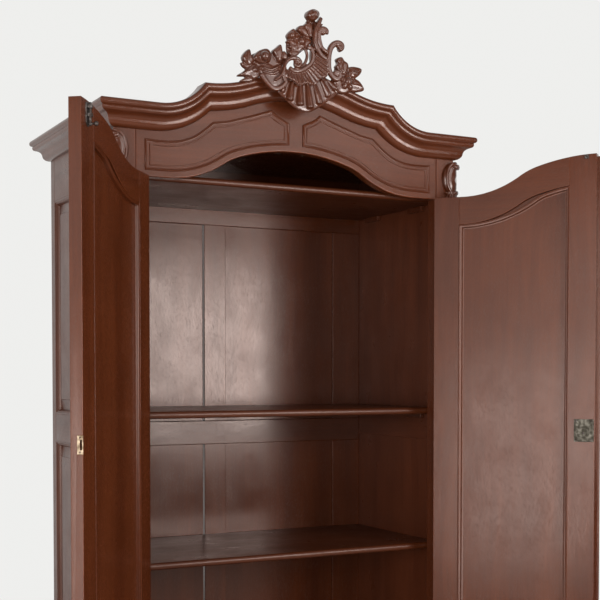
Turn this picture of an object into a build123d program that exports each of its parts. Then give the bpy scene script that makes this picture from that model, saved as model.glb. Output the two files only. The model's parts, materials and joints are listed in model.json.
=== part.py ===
"""Two-door armoire: carcase, arched frieze, moulded cornice, carved crest, doors, lock, bolts, shelves.

Millimetres, +Z up. The front faces -Y. The origin is on the floor under the middle of the
armoire's bounding box with both doors standing open, which is how it rests.
"""
import os
from math import atan2, cos, degrees, radians, sin, sqrt

from build123d import *

# ---- driving dimensions ----------------------------------------------------------------------
OPENING = 530.0          # half the door opening
POST_W = 67.0            # corner post, along X
POST_D = 50.0            # corner post, along Y
DEPTH = 650.0            # carcase, front face to rear face
DOOR_BOTTOM = 235.0      # lower edge of the doors above the floor
DOOR_T = 34.0            # door thickness
LEFT_OPEN = 129.0        # how far the doors stand open at rest, degrees
RIGHT_OPEN = 129.6
STILE_W = 83.5           # door stiles
RAIL_H = 90.0            # door rails
GAP_SIDE = 1.5           # between a door and its post, and half the gap where the doors meet
GAP_TOP = 2.0
PIN_Y = -6.0             # hinge pins stand this far before the front face
FRIEZE_FLAT = 1864.0     # underside of the frieze where it is straight
CROWN_TOP = 2073.0       # top of the cornice at the corners
CROWN_H = 74.0           # height of the cornice moulding
CROWN_OUT = 58.0         # how far the cornice stands out
SHELF_T = 22.0
SHELF_Z = (1874.0, 1156.0, 695.0)   # middle of each shelf's thickness: upper, middle, lower
WALL_X = 577.0           # inner face of the sides
BACK_Y = 588.0           # inner face of the back, from the front face
BOARD_T = 18.0           # top board
FLOOR_TOP = 233.0        # upper face of the bottom board
FLOOR_T = 20.0
REAR_POST = 40.0         # rear corner posts, square
HINGE_Z = (418.0, 1105.0, 1724.0)   # middle of each hinge
LOCK_Z = 1104.5          # middle of the lock bolt

HALF = OPENING + POST_W
OUTER = HALF + CROWN_OUT
THETA = radians(LEFT_OPEN)
DOOR_W = OPENING - GAP_SIDE
REACH = DOOR_W * sin(THETA) + (DOOR_T - PIN_Y) * -cos(THETA) - PIN_Y
FRONT_Y = round((REACH - DEPTH - CROWN_OUT) / 2)   # front face of the carcase in the part's frame

os.makedirs("parts", exist_ok=True)


# ---- helpers -----------------------------------------------------------------------------------
def block(x0, x1, y0, y1, z0, z1):
    """A box between two corners, with y counted back from the carcase's front face."""
    place = Pos((x0 + x1) / 2, (y0 + y1) / 2, (z0 + z1) / 2)
    return place * Box(abs(x1 - x0), abs(y1 - y0), abs(z1 - z0))


def slab(face, y0, y1):
    """A face drawn in X and Z, thickened from y0 back to y1."""
    wall = Plane(origin=(0, y1, 0), x_dir=(1, 0, 0), z_dir=(0, -1, 0))
    return extrude(wall * face, amount=y1 - y0)


def strip(face, x0, x1):
    """A face drawn in Y and Z, thickened from x0 to x1."""
    wall = Plane(origin=(x0, 0, 0), x_dir=(0, 1, 0), z_dir=(1, 0, 0))
    return extrude(wall * face, amount=x1 - x0)


def rect(x0, x1, z0, z1):
    return Pos((x0 + x1) / 2, (z0 + z1) / 2) * Rectangle(x1 - x0, z1 - z0)


def run(start, heading, legs):
    """Edges from a start point: a leg is a length, or a radius and a turn in degrees."""
    edges = []
    point = Vector(*start)
    for leg in legs:
        way = Vector(cos(radians(heading)), sin(radians(heading)))
        if isinstance(leg, tuple):
            edges.append(JernArc(point, way, leg[0], leg[1]))
            heading += leg[1]
        else:
            edges.append(Line(point, point + way * leg))
        point = edges[-1] @ 1
    return edges


def there_and_back(legs):
    """The legs of a path that is the same both ways from its middle."""
    return legs + legs[::-1]


def closed(edges, *corners):
    """A face bounded by a chain of edges and straight lines through the corners."""
    first = edges[0] @ 0
    last = edges[-1] @ 1
    points = [last] + [Vector(*c) for c in corners] + [first]
    lines = [Line(a, b) for a, b in zip(points, points[1:])]
    return make_face(edges + lines)


def cyl(x, y, z0, z1, radius):
    return Pos(x, y, (z0 + z1) / 2) * Cylinder(radius, z1 - z0)


def cyl_y(x, y0, y1, z, radius):
    return Pos(x, (y0 + y1) / 2, z) * Rot(90, 0, 0) * Cylinder(radius, y1 - y0)


def mirrored(shape):
    return shape.mirror(Plane.YZ)


def save(name, *shapes):
    whole = shapes[0] if len(shapes) == 1 else Compound(children=list(shapes))
    export_step(Pos(0, FRONT_Y, 0) * whole, f"parts/{name}.step")


# ---- arched lines ------------------------------------------------------------------------------
RISE_A = 33.7            # steepest slope of the frieze's serpentine
RISE_B = 17.5
ARCH_START = 430.0       # where the serpentine leaves the straight
R_HOLLOW = 333.6
R_SHOULDER = 216.7
R_CROWN = (
    ARCH_START - R_HOLLOW * sin(radians(RISE_A))
    - R_SHOULDER * (sin(radians(RISE_A)) - sin(radians(RISE_B)))
) / sin(radians(RISE_B))
ARCH_LEGS = there_and_back([
    OPENING - ARCH_START,
    (R_HOLLOW, RISE_A),
    (R_SHOULDER, RISE_B - RISE_A),
    (R_CROWN, -RISE_B),
])


def under_arch(drop, bottom):
    """All that lies under the frieze's serpentine edge lowered by drop, down to bottom."""
    line = run((-OPENING, FRIEZE_FLAT - drop), 0, ARCH_LEGS)
    return closed(line, (OPENING, bottom), (-OPENING, bottom))


CUSP = (328.0, CROWN_TOP + 74.0)      # tip of the cornice's cusp
SWEEP_X = 470.0                       # where the cornice leaves the straight
SWEEP_R = ((SWEEP_X - CUSP[0]) ** 2 + (CUSP[1] - CROWN_TOP) ** 2) / 2 / (CUSP[1] - CROWN_TOP)
DISH_R = 434.0
DISH_TURN = 19.9
DOME_R = CUSP[0] / sin(radians(DISH_TURN)) - DISH_R


def crown_line(drop, reach):
    """The cornice's upper edge moved drop square to itself, out to reach on both sides."""
    c1 = Vector(SWEEP_X, CROWN_TOP + SWEEP_R)
    c2 = Vector(CUSP[0], CUSP[1] + DISH_R)
    r1 = SWEEP_R + drop
    r2 = DISH_R + drop
    apart = (c2 - c1).length
    along = (r1 ** 2 - r2 ** 2 + apart ** 2) / 2 / apart
    side = sqrt(r1 ** 2 - along ** 2)
    way = (c2 - c1).normalized()
    tip = c1 + way * along + Vector(way.Y, -way.X) * -side
    turn1 = degrees(atan2(c1.X - tip.X, c1.Y - tip.Y))
    lean = degrees(atan2(c2.X - tip.X, c2.Y - tip.Y))
    z = CROWN_TOP - drop
    first = run((-reach, z), 0, [reach - SWEEP_X, (r1, turn1)])
    dish = (r2, DISH_TURN - lean)
    rest = run((-tip.X, tip.Y), lean, [dish, (DOME_R - drop, -2 * DISH_TURN), dish])
    last = run((tip.X, tip.Y), -turn1, [(r1, turn1), reach - SWEEP_X])
    return first + rest + last


def crown_band(top_drop, low_drop, reach):
    """The band between two lines of the cornice."""
    upper = crown_line(top_drop, reach)
    lower = crown_line(low_drop, reach)
    ends = [Line((-reach, CROWN_TOP - top_drop), (-reach, CROWN_TOP - low_drop)),
            Line((reach, CROWN_TOP - top_drop), (reach, CROWN_TOP - low_drop))]
    return make_face(upper + lower + ends)


# ---- carcase -----------------------------------------------------------------------------------
POST_TOP = CROWN_TOP - 10
FOOT_TOP = 130.0
CASE_TOP = CROWN_TOP - CROWN_H
LEAF_D = 26.0            # hinge leaf let into the wood
LEAF_T = 2.0
HINGE_H = 100.0


def leaf_box(side, side_sign, z0, z1):
    """A hinge leaf in the wood on one side of the pin: side_sign +1 is the post's."""
    x0 = OPENING + side_sign * 1.0
    x1 = OPENING + side_sign * (1.0 + LEAF_T)
    return block(side * x0, side * x1, PIN_Y + 3.0, LEAF_D, z0, z1)


def front_post(side):
    body = block(side * OPENING, side * HALF, 0, POST_D, FOOT_TOP, POST_TOP)
    for z in HINGE_Z:
        body -= leaf_box(side, 1, z - HINGE_H / 2, z - 0.3)
    return body


def cabriole_outline():
    """One face of a front foot: knee, hollow and toe, drawn with its outer edge to the right."""
    knee = 12.0
    toe = 20.0
    outer = Spline((HALF, FOOT_TOP), (HALF + knee, 92), (HALF - 8, 34), (HALF + toe, 0))
    inner = Spline((HALF + toe - 46, 0), (HALF - 44, 36), (HALF - 40, 80), (OPENING, FOOT_TOP))
    return make_face([outer, Line(outer @ 1, inner @ 0), inner, Line(inner @ 1, outer @ 0)])


def front_foot():
    across = slab(cabriole_outline(), -40, 120)
    profile = cabriole_outline().mirror(Plane.YZ).translate((HALF, 0, 0))
    deep = strip(profile, OPENING - 60, HALF + 60)
    return across & deep


APRON_LOW = 122.0        # lowest line of the shaped apron
APRON_LEGS = there_and_back([70.0, (70, 40), (60, -40), 110.0, (60, -35), (75, 35)])


def apron_face():
    reach = (run((0, 0), 0, APRON_LEGS)[-1] @ 1).X
    line = run((-reach / 2, APRON_LOW), 0, APRON_LEGS)
    top = DOOR_BOTTOM - GAP_TOP
    return closed(line, (OPENING, APRON_LOW), (OPENING, top), (-OPENING, top), (-OPENING, APRON_LOW))


SIDE_RAILS = ((1860.0, POST_TOP), (1054.0, 1147.0), (FOOT_TOP, 318.0))
SIDE_FIELD_IN = (60.0, 36.0)          # side panels' raised field: in from the posts, from the rails
KEEPER_X = (-58.0, -32.0)             # floor plate that takes the lower bolt
KEEPER_T = 2.0
ROD_HOLE = 5.0


def carcase():
    right_post = front_post(1)
    save("front_post_right", right_post)
    save("front_post_left", mirrored(right_post))
    foot = front_foot()
    save("front_foot_right", foot)
    save("front_foot_left", mirrored(foot))
    rear = block(HALF - REAR_POST, HALF, DEPTH - REAR_POST, DEPTH, 0, POST_TOP)
    save("back_post_right", rear)
    save("back_post_left", mirrored(rear))
    save("front_apron", slab(apron_face(), 0, DOOR_T))

    y0, y1 = POST_D, DEPTH - REAR_POST
    rails = [block(WALL_X, HALF, y0, y1, *heights) for heights in SIDE_RAILS]
    save("side_rails_right", *rails)
    save("side_rails_left", *[mirrored(r) for r in rails])
    in_y, in_z = SIDE_FIELD_IN
    panels = []
    for upper, lower in zip(SIDE_RAILS, SIDE_RAILS[1:]):
        z0, z1 = lower[1], upper[0]
        board = block(WALL_X + 3, WALL_X + 12, y0, y1, z0, z1)
        field = block(WALL_X + 12, HALF - 3, y0 + in_y, y1 - in_y, z0 + in_z, z1 - in_z)
        panels.append(board + field)
    save("side_panels_right", *panels)
    save("side_panels_left", *[mirrored(p) for p in panels])

    z0, z1 = FLOOR_TOP - FLOOR_T, FLOOR_TOP
    floor = block(-WALL_X, WALL_X, POST_D, BACK_Y, z0, z1)
    floor += block(-OPENING, OPENING, DOOR_T, POST_D, z0, z1)
    floor -= block(*KEEPER_X, DOOR_T, POST_D, FLOOR_TOP - KEEPER_T, FLOOR_TOP)
    save("bottom_board", floor - cyl(sum(KEEPER_X) / 2, ROD_Y, z0 - 1, z1 + 1, ROD_HOLE))
    z0, z1 = CASE_TOP + 2, CASE_TOP + 2 + BOARD_T
    save("top_board", block(-WALL_X, WALL_X, POST_D, BACK_Y, z0, z1)
         + block(-OPENING, OPENING, DOOR_T, POST_D, z0, z1))


MUNTIN = (-61.0, 21.0)   # centre muntin of the back
BACK_STILES = (-470.0, 463.0)
BACK_RAILS = ((1811.0, CASE_TOP + 20), (1030.0, 1113.0), (213.0, 330.0))
BACK_T = 22.0
MUNTIN_GAP = 5.0         # the left panel has shrunk away from the muntin


def back():
    y1 = BACK_Y + BACK_T
    save("back_rails", *[block(-WALL_X, WALL_X, BACK_Y, y1, *heights) for heights in BACK_RAILS])
    uprights = []
    panels = []
    for upper, lower in zip(BACK_RAILS, BACK_RAILS[1:]):
        z0, z1 = lower[1], upper[0]
        for x0, x1 in (MUNTIN, (-WALL_X, BACK_STILES[0]), (BACK_STILES[1], WALL_X)):
            uprights.append(block(x0, x1, BACK_Y, y1, z0, z1))
        for x0, x1 in ((BACK_STILES[0], MUNTIN[0] - MUNTIN_GAP), (MUNTIN[1], BACK_STILES[1])):
            panels.append(block(x0, x1, BACK_Y + 6, BACK_Y + 14, z0, z1))
    save("back_stiles_and_muntin", *uprights)
    save("back_panels", *panels)


SHELF_Y = POST_D + 5
SHELF_CORNER = 45.0
CLEAT_Y = (140.0, 430.0)
CLEAT = (16.0, 90.0, 18.0)            # across, along the side, high


def shelves():
    cleats = []
    for name, z in zip(("shelf_upper", "shelf_middle", "shelf_lower"), SHELF_Z):
        z0, z1 = z - SHELF_T / 2, z + SHELF_T / 2
        board = block(-WALL_X + 1, WALL_X - 1, SHELF_Y, BACK_Y - 1, z0, z1)
        board = fillet(board.edges().filter_by(Axis.Z).group_by(Axis.Y)[0], SHELF_CORNER)
        nose = board.edges().filter_by(lambda e: e.center().Y < SHELF_Y + SHELF_CORNER
                                       and min(abs(e.center().Z - z0), abs(e.center().Z - z1)) < 0.01
                                       and abs(e.center().X) < WALL_X - 2)
        save(name, fillet(nose, SHELF_T / 2 - 2))
        for y in CLEAT_Y:
            cleat = block(WALL_X - CLEAT[0], WALL_X, y, y + CLEAT[1], z0 - CLEAT[2], z0)
            cleats += [cleat, mirrored(cleat)]
    save("shelf_cleats", *cleats)


# ---- frieze, cornice and carving ------------------------------------------------------------------
FRIEZE_SET = 24.0        # top of the frieze board under the top of the cornice


def frieze():
    crown = crown_line(FRIEZE_SET, OPENING)
    arch = run((-OPENING, FRIEZE_FLAT), 0, ARCH_LEGS)
    z = CROWN_TOP - FRIEZE_SET
    ends = [Line((-OPENING, z), (-OPENING, FRIEZE_FLAT)), Line((OPENING, z), (OPENING, FRIEZE_FLAT))]
    save("frieze_board", slab(make_face(crown + arch + ends), 0, DOOR_T))


PANEL_IN, PANEL_OUT = 24.0, 502.0      # frieze panel: nearest and farthest from the middle
BEAD = 9.0
FRIEZE_MARGIN = 19.0     # from the arch and from the cornice to the panel's moulding


def frieze_panel(inset):
    """The outline of the right frieze panel, moved in by inset."""
    x0 = PANEL_IN + inset
    x1 = PANEL_OUT - inset
    low = FRIEZE_FLAT - 300
    arch = under_arch(-FRIEZE_MARGIN - inset, low)
    line = crown_line(CROWN_H + FRIEZE_MARGIN + inset, OPENING)
    crown = closed(line, (OPENING, low), (-OPENING, low))
    shell_side = make_face(Polyline((x0 - 1, 2200), (x0 - 1, 2048 - inset), (66, 2098), (100, 2200),
                                    (x0 - 1, 2200)))
    return (crown - arch - shell_side) & rect(x0, x1, low, 2087 - inset)


def frieze_mouldings():
    ring = frieze_panel(0) - frieze_panel(BEAD)
    right = slab(ring, -4.0, 0)
    save("frieze_moulding_right", right)
    save("frieze_moulding_left", mirrored(right))


# bands of the cornice: upper drop, lower drop, how far each stands out
BANDS = ((0, 28, 58.0), (28, 35, 47.0), (35, 44, 38.0), (44, 54, 26.0), (54, 74, 17.0))


def prism(corners, z0, z1):
    outline = make_face(Polyline(*[(x, y, z0) for x, y in corners + corners[:1]]))
    return extrude(outline, amount=z1 - z0, dir=(0, 0, 1))


def cornice():
    low, high = CASE_TOP - 5, CROWN_TOP + 200
    front = None
    for top, foot, out in BANDS:
        band = slab(crown_band(top, foot, HALF + out), -out, 0)
        front = band if front is None else front + band
    c = CROWN_OUT
    front &= prism([(-HALF, 0), (HALF, 0), (OUTER, -c), (-OUTER, -c)], low, high)
    save("cornice_front", front)
    side = None
    rear = None
    for top, foot, out in BANDS:
        z0, z1 = CROWN_TOP - foot, CROWN_TOP - top
        piece = block(HALF, HALF + out, -out, DEPTH + out, z0, z1)
        side = piece if side is None else side + piece
        piece = block(-HALF - out, HALF + out, DEPTH, DEPTH + out, z0, z1)
        rear = piece if rear is None else rear + piece
    side &= prism([(HALF, 0), (OUTER, -c), (OUTER, DEPTH + c), (HALF, DEPTH)], low, high)
    rear &= prism([(-HALF, DEPTH), (-OUTER, DEPTH + c), (OUTER, DEPTH + c), (HALF, DEPTH)], low, high)
    save("cornice_right", side)
    save("cornice_left", mirrored(side))
    save("cornice_back", rear)


CREST_Z = 2183.0         # middle of the shell
CREST_T = 30.0


def oval(x, z, across, up, tilt=0):
    """An oval of the crest, placed from the middle of the shell."""
    return Pos(x, CREST_Z + z) * Rot(0, 0, tilt) * Ellipse(across, up)


def flat(*corners):
    """A straight-sided piece of the crest, placed from the middle of the shell."""
    points = [(x, CREST_Z + z) for x, z in corners]
    return make_face(Polyline(*points, points[0]))


def crest():
    """The carved shell with its scrolls, stem, bud and side leaves, as one pierced board."""
    outline = oval(18, 0, 91, 91.1) + oval(10, 35, 92, 62)                  # shell and its ruffle
    outline += oval(-112, 25, 104, 46, 22) + oval(-96, -3, 36, 36.1)        # left leaves and scroll
    outline += flat((-225, -2), (-150, 50), (-120, -15))
    outline += oval(-20, 115, 40, 48) + oval(28, 202, 23, 25)               # lobes and bud
    outline += flat((5, 65), (15, 185), (60, 197), (60, 145), (100, 45), (80, -15))
    outline += oval(110, 118, 23, 23.1) + flat((50, 115), (112, 141), (110, 95), (78, 35))
    outline += oval(150, 35, 62, 48, -12) + flat((216, 2), (120, -15), (150, 55))
    outline -= oval(-8, 69, 17, 28, 20)                                     # opening in the crescent
    save("crest", slab(outline, -CROWN_OUT - CREST_T, -CROWN_OUT))


def corner_ornaments():
    """A carved scroll and leaf wrapped round each front corner under the cornice."""
    top = CASE_TOP - 6
    tip = top - 150
    swell = Spline((16, top), (24, top - 26), (17, top - 62), (21, top - 92), (0, tip))
    half = make_face([Line((0, top), (16, top)), swell, Line((0, tip), (0, top))])
    spin = Plane(origin=(HALF, 0, 0), x_dir=(1, 0, 0), z_dir=(0, -1, 0)) * half
    body = revolve(spin, Axis((HALF, 0, 0), (0, 0, 1)), 360)
    body -= block(HALF - 60, HALF, 0, 60, top - 200, top + 20)
    save("corner_ornament_right", body)
    save("corner_ornament_left", mirrored(body))


# ---- hinges ---------------------------------------------------------------------------------------
PIN_R = 2.5
KNUCKLE_R = 5.0
RUNNING = 0.05


def knuckle(side, z0, z1, bore):
    return cyl(side * OPENING, PIN_Y, z0, z1, KNUCKLE_R) - cyl(side * OPENING, PIN_Y, z0 - 1, z1 + 1, bore)


def hinges():
    pins = []
    frame_leaves = []
    door_leaves = {1: [], -1: []}
    for side in (-1, 1):
        for z in HINGE_Z:
            low, high = z - HINGE_H / 2, z + HINGE_H / 2
            pin = cyl(side * OPENING, PIN_Y, low - 1, high + 1, PIN_R)
            pin += Pos(side * OPENING, PIN_Y, high + 5.8) * Sphere(5.0)
            pin += Pos(side * OPENING, PIN_Y, low - 5.5) * Sphere(5.0)
            pins.append(pin)
            leaf = knuckle(side, low, z - 0.3, PIN_R) + leaf_box(side, 1, low, z - 0.3)
            frame_leaves.append(leaf)
            leaf = knuckle(side, z + 0.3, high, PIN_R + RUNNING) + leaf_box(side, -1, z + 0.3, high)
            door_leaves[side].append(leaf)
    save("hinge_pins", *pins)
    save("frame_hinge_leaves", *frame_leaves)
    save("left_door_hinge_leaves", *[opened(-1, s) for s in door_leaves[-1]])
    save("right_door_hinge_leaves", *[opened(1, s) for s in door_leaves[1]])


# ---- doors ----------------------------------------------------------------------------------------
def opened(side, shape):
    """Swing a piece of a closed door to its open place."""
    angle = RIGHT_OPEN if side > 0 else -LEFT_OPEN
    return shape.rotate(Axis((side * OPENING, PIN_Y, 0), (0, 0, 1)), angle)


def door_x(side, s):
    """The place across the closed opening that is s from the door's hinge side."""
    return side * (OPENING - s)


def door_rect(side, s0, s1, z0, z1):
    a, b = sorted((door_x(side, s0), door_x(side, s1)))
    return rect(a, b, z0, z1)


def door_block(side, s0, s1, y0, y1, z0, z1):
    return block(door_x(side, s0), door_x(side, s1), y0, y1, z0, z1)


STILE_IN = GAP_SIDE + STILE_W
STILE_OUT = DOOR_W - STILE_W
PANEL_BOTTOM = DOOR_BOTTOM + 95.0
MOULD_W = 16.0
PANEL_Y = (11.0, 23.0)


def panel_shape(side, inset):
    """The door panel's outline, moved in by inset."""
    sight = door_rect(side, STILE_IN + inset, STILE_OUT - inset, PANEL_BOTTOM + inset, 2100)
    return under_arch(GAP_TOP + RAIL_H + inset, PANEL_BOTTOM + inset) & sight


def door_frame(side, cuts):
    """Stiles, rails, panel and mouldings of one door."""
    leaf = under_arch(GAP_TOP, DOOR_BOTTOM)
    tall = (DOOR_BOTTOM, 2100)
    hinge_stile = slab(leaf & door_rect(side, GAP_SIDE, STILE_IN, *tall), 0, DOOR_T)
    free_stile = slab(leaf & door_rect(side, STILE_OUT, DOOR_W, *tall), 0, DOOR_T)
    middle = leaf & door_rect(side, STILE_IN, STILE_OUT, *tall)
    top_rail = slab(middle - under_arch(GAP_TOP + RAIL_H, DOOR_BOTTOM - 10), 0, DOOR_T)
    bottom_rail = door_block(side, STILE_IN, STILE_OUT, 0, DOOR_T, DOOR_BOTTOM, PANEL_BOTTOM)
    panel = slab(panel_shape(side, 0), *PANEL_Y)
    ring = panel_shape(side, 0) - panel_shape(side, MOULD_W)
    mouldings = [slab(ring, 0, PANEL_Y[0]), slab(ring, PANEL_Y[1], DOOR_T)]
    for z in HINGE_Z:
        hinge_stile -= leaf_box(side, -1, z + 0.3, z + HINGE_H / 2)
    for cut in cuts:
        free_stile -= cut
    word = "left" if side < 0 else "right"
    pieces = {"hinge_stile": [hinge_stile], "free_stile": [free_stile], "top_rail": [top_rail],
              "bottom_rail": [bottom_rail], "panel": [panel], "panel_moulding": mouldings}
    for name, solids in pieces.items():
        save(f"{word}_door_{name}", *[opened(side, s) for s in solids])


BOLT_S = 485.0           # surface bolts on the left door, from its hinge side
ROD_R = 4.0
ROD_Y = DOOR_T + 7.0
PLATE_T = 2.0
TOP_EDGE = 1970.0        # the left door's top edge beside its surface bolt
BOLT_CLEAR = 0.4
KEEPS = ((10.0, 18.0), (31.0, 39.0))  # the bolt's two guides, from the door's edge
PLATE_Z = (4.0, 64.0)
ROD_Z = (3.0, 62.0)
KNOB_Z = 57.0


def surface_bolt(end, inward):
    """A plate with two keeps, and the rod with its knob, at the door edge named by end."""
    x = door_x(-1, BOLT_S)

    def heights(span):
        return sorted((end + inward * span[0], end + inward * span[1]))

    plate = block(x - 14, x + 14, DOOR_T, DOOR_T + PLATE_T, *heights(PLATE_Z))
    for span in KEEPS:
        low, high = heights(span)
        keep = block(x - 8, x + 8, DOOR_T + PLATE_T, ROD_Y + 6.5, low, high)
        plate += keep - cyl(x, ROD_Y, low - 1, high + 1, ROD_R + BOLT_CLEAR)
    rod = cyl(x, ROD_Y, *heights(ROD_Z), ROD_R)
    knob_z = end + inward * KNOB_Z
    rod += cyl_y(x, ROD_Y, ROD_Y + 14, knob_z, 3.0)
    rod += Pos(x, ROD_Y + 16, knob_z) * Sphere(6.0)
    return plate, rod


SLOT_Y = (DOOR_T - 8.4, DOOR_T - 3.0)    # strike slot and the bolt that enters it


def left_door():
    x = door_x(-1, DOOR_W)
    z0, z1 = LOCK_Z - 24, LOCK_Z + 24
    plate_seat = block(x - PLATE_T, x, DOOR_T - 16, DOOR_T, z0, z1)
    socket = block(x - 16, x, SLOT_Y[0], SLOT_Y[1], LOCK_Z - 13, LOCK_Z + 13)
    door_frame(-1, [plate_seat, socket])
    save("strike_plate", opened(-1, plate_seat - socket))
    plate, rod = surface_bolt(TOP_EDGE, -1)
    save("top_bolt_plate", opened(-1, plate))
    save("top_bolt", opened(-1, rod))
    plate, rod = surface_bolt(DOOR_BOTTOM, 1)
    save("bottom_bolt_plate", opened(-1, plate))
    save("bottom_bolt", opened(-1, rod))


CASE_S = (466.0, 524.0)  # lock case, from the right door's hinge side
CASE_Z = (1068.0, 1136.0)
CASE_Y = (17.0, 34.0)
WALL = 2.0
KEY_S = 493.0
KEY_Z = 1094.0


def right_door():
    seat = door_block(1, CASE_S[0], CASE_S[1], CASE_Y[0], DOOR_T, *CASE_Z)
    hollow = door_block(1, CASE_S[0] + WALL, CASE_S[1] - WALL, CASE_Y[0] + WALL, DOOR_T - WALL,
                        CASE_Z[0] + WALL, CASE_Z[1] - WALL)
    bolt_y = (SLOT_Y[0] + 0.5, SLOT_Y[1] - 0.5)
    mouth = door_block(1, CASE_S[1] - 5, DOOR_W, bolt_y[0] - 0.3, bolt_y[1] + 0.3,
                       LOCK_Z - 12.3, LOCK_Z + 12.3)
    x = door_x(1, KEY_S)
    keyhole = cyl_y(x, -10, DOOR_T - WALL, KEY_Z, 4.0)
    door_frame(1, [seat, mouth, keyhole])
    cap = door_block(1, CASE_S[0] - 2, CASE_S[1] + 2, DOOR_T, DOOR_T + 1.5,
                     CASE_Z[0] - 2, CASE_Z[1] + 2)
    case = seat - hollow - mouth - keyhole + cap
    save("lock_case", opened(1, case))
    bolt = door_block(1, 503, DOOR_W - 0.5, bolt_y[0], bolt_y[1], LOCK_Z - 12, LOCK_Z + 12)
    bolt += door_block(1, 472, 503, bolt_y[0], bolt_y[1], LOCK_Z + 6, LOCK_Z + 12)
    save("lock_bolt", opened(1, bolt))

    key = cyl_y(x, -34, 29.0, KEY_Z, 3.0)
    key += block(x - 1.5, x + 1.5, 21.0, 27.5, KEY_Z - 8, KEY_Z)
    grip = Pos(x, -42, KEY_Z) * Rot(0, 90, 0) * Torus(11, 2.6)
    key += Pos(0, -5.2, 0) * grip
    save("key", opened(1, key))
    scutcheon = cyl_y(x, -3.0, 0, KEY_Z, 17.0) - cyl_y(x, -4, 1, KEY_Z, 4.0)
    save("escutcheon", opened(1, scutcheon))

    edge = door_x(1, DOOR_W)
    leaf = under_arch(GAP_TOP + 3, DOOR_BOTTOM + 3)
    cover = slab(leaf & rect(edge - 12, edge + 14, DOOR_BOTTOM, 2100), -10.0, -0.6)
    tongue = slab(leaf & rect(edge, edge + 14, DOOR_BOTTOM, 2100), -0.6, 0)
    save("astragal", opened(1, cover + tongue))


KEEP_Z = 1976.0          # keeper of the upper bolt, under the frieze
STAR = (41.0, 1980.0)    # star-shaped catch plate behind the frieze
STAR_R = 8.0


def keepers():
    x = door_x(-1, BOLT_S)
    rod = cyl(x, ROD_Y, FLOOR_TOP - 10, KEEP_Z + 20, ROD_R + 0.8)
    keep = block(x - 14, x + 14, DOOR_T, DOOR_T + 16, KEEP_Z, KEEP_Z + 14)
    save("top_bolt_keeper", keep - rod)
    plate = block(*KEEPER_X, DOOR_T, POST_D, FLOOR_TOP - KEEPER_T, FLOOR_TOP)
    save("bottom_bolt_keeper", plate - rod)
    save("catch_keeper", cyl_y(STAR[0], DOOR_T, DOOR_T + 5, STAR[1], STAR_R))


carcase()
back()
shelves()
frieze()
frieze_mouldings()
cornice()
crest()
corner_ornaments()
hinges()
left_door()
right_door()
keepers()
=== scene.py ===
"""Mahogany armoire with two arched doors, a moulded cornice and a carved crest."""
import json
from math import atan2, cos, degrees, pi, radians, sin, sqrt

import bmesh
import bpy
from bpy.props import FloatProperty, FloatVectorProperty, PointerProperty
from mathutils import Matrix, Vector
from mathutils.geometry import intersect_line_line_2d


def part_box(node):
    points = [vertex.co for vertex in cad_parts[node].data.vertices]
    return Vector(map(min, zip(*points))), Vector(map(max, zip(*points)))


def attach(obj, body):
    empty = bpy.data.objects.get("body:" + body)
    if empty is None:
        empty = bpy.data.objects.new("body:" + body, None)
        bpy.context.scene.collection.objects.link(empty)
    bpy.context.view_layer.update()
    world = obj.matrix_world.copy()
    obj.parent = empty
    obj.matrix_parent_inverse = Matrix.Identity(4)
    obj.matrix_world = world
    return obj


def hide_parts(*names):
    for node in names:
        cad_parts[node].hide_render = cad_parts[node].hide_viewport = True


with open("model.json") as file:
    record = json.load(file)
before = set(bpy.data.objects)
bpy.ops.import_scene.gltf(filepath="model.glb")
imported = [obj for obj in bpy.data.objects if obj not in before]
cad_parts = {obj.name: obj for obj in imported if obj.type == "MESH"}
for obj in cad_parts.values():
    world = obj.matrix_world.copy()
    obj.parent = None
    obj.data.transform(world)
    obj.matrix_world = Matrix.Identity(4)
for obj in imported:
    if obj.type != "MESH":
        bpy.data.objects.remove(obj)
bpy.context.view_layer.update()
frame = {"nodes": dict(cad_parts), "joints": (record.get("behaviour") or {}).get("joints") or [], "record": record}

bl_info = {
    "name": "Armoire",
    "version": (1, 0, 0),
    "blender": (4, 5, 0),
    "location": "View3D > Sidebar > Armoire",
    "description": "Builds a two-door mahogany armoire round its packed frame",
    "category": "Add Mesh",
}

MM = 0.001
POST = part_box("front_post_right")
OPENING = POST[0].x                  # half the door opening
HALF = POST[1].x                     # half the case
FRONT = POST[0].y                    # front face of the case
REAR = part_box("back_post_right")[1].y
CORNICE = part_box("cornice_right")
CROWN_TOP = CORNICE[1].z             # top of the cornice at the corners
FRIEZE_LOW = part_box("frieze_board")[0].z
DOOR_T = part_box("frieze_board")[1].y - FRONT
WALL_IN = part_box("side_rails_right")[0].x
BODIES = {node: body for body, nodes in frame["record"]["behaviour"]["bodies"].items()
          for node in nodes}
MERGE = 0.00002                      # CAD points nearer than this are one point
FLAT_ENOUGH = radians(0.8)           # CAD faces that meet flatter than this are one face
SIDES = (("left", -1), ("right", 1))
UP = Vector((0, 0, 1))
OUT_OF_DOOR = Vector((0, 1, 0))      # away from a shut door's inner face
GRAIN_ORDER = {"X": (2, 1, 0), "Y": (0, 2, 1), "Z": (0, 1, 2)}


# ---- turning a closed door open ------------------------------------------------------------------
def door_turns():
    """For each door, the matrix from its closed place to its resting, open place."""
    turns = {}
    for joint in frame["joints"]:
        if joint["child"] in ("left_door", "right_door"):
            pin = Vector(joint["pos_m"])
            swing = Matrix.Rotation(radians(-joint["range_deg"][0]), 4, Vector(joint["axis"]))
            turns[joint["child"]] = Matrix.Translation(pin) @ swing @ Matrix.Translation(-pin)
    for part, door in (("top_bolt", "left_door"), ("bottom_bolt", "left_door"),
                       ("lock_bolt", "right_door"), ("key", "right_door")):
        turns[part] = turns[door]
    return turns


TURNS = door_turns()


def turn_of(body):
    return TURNS.get(body, Matrix.Identity(4))


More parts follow.
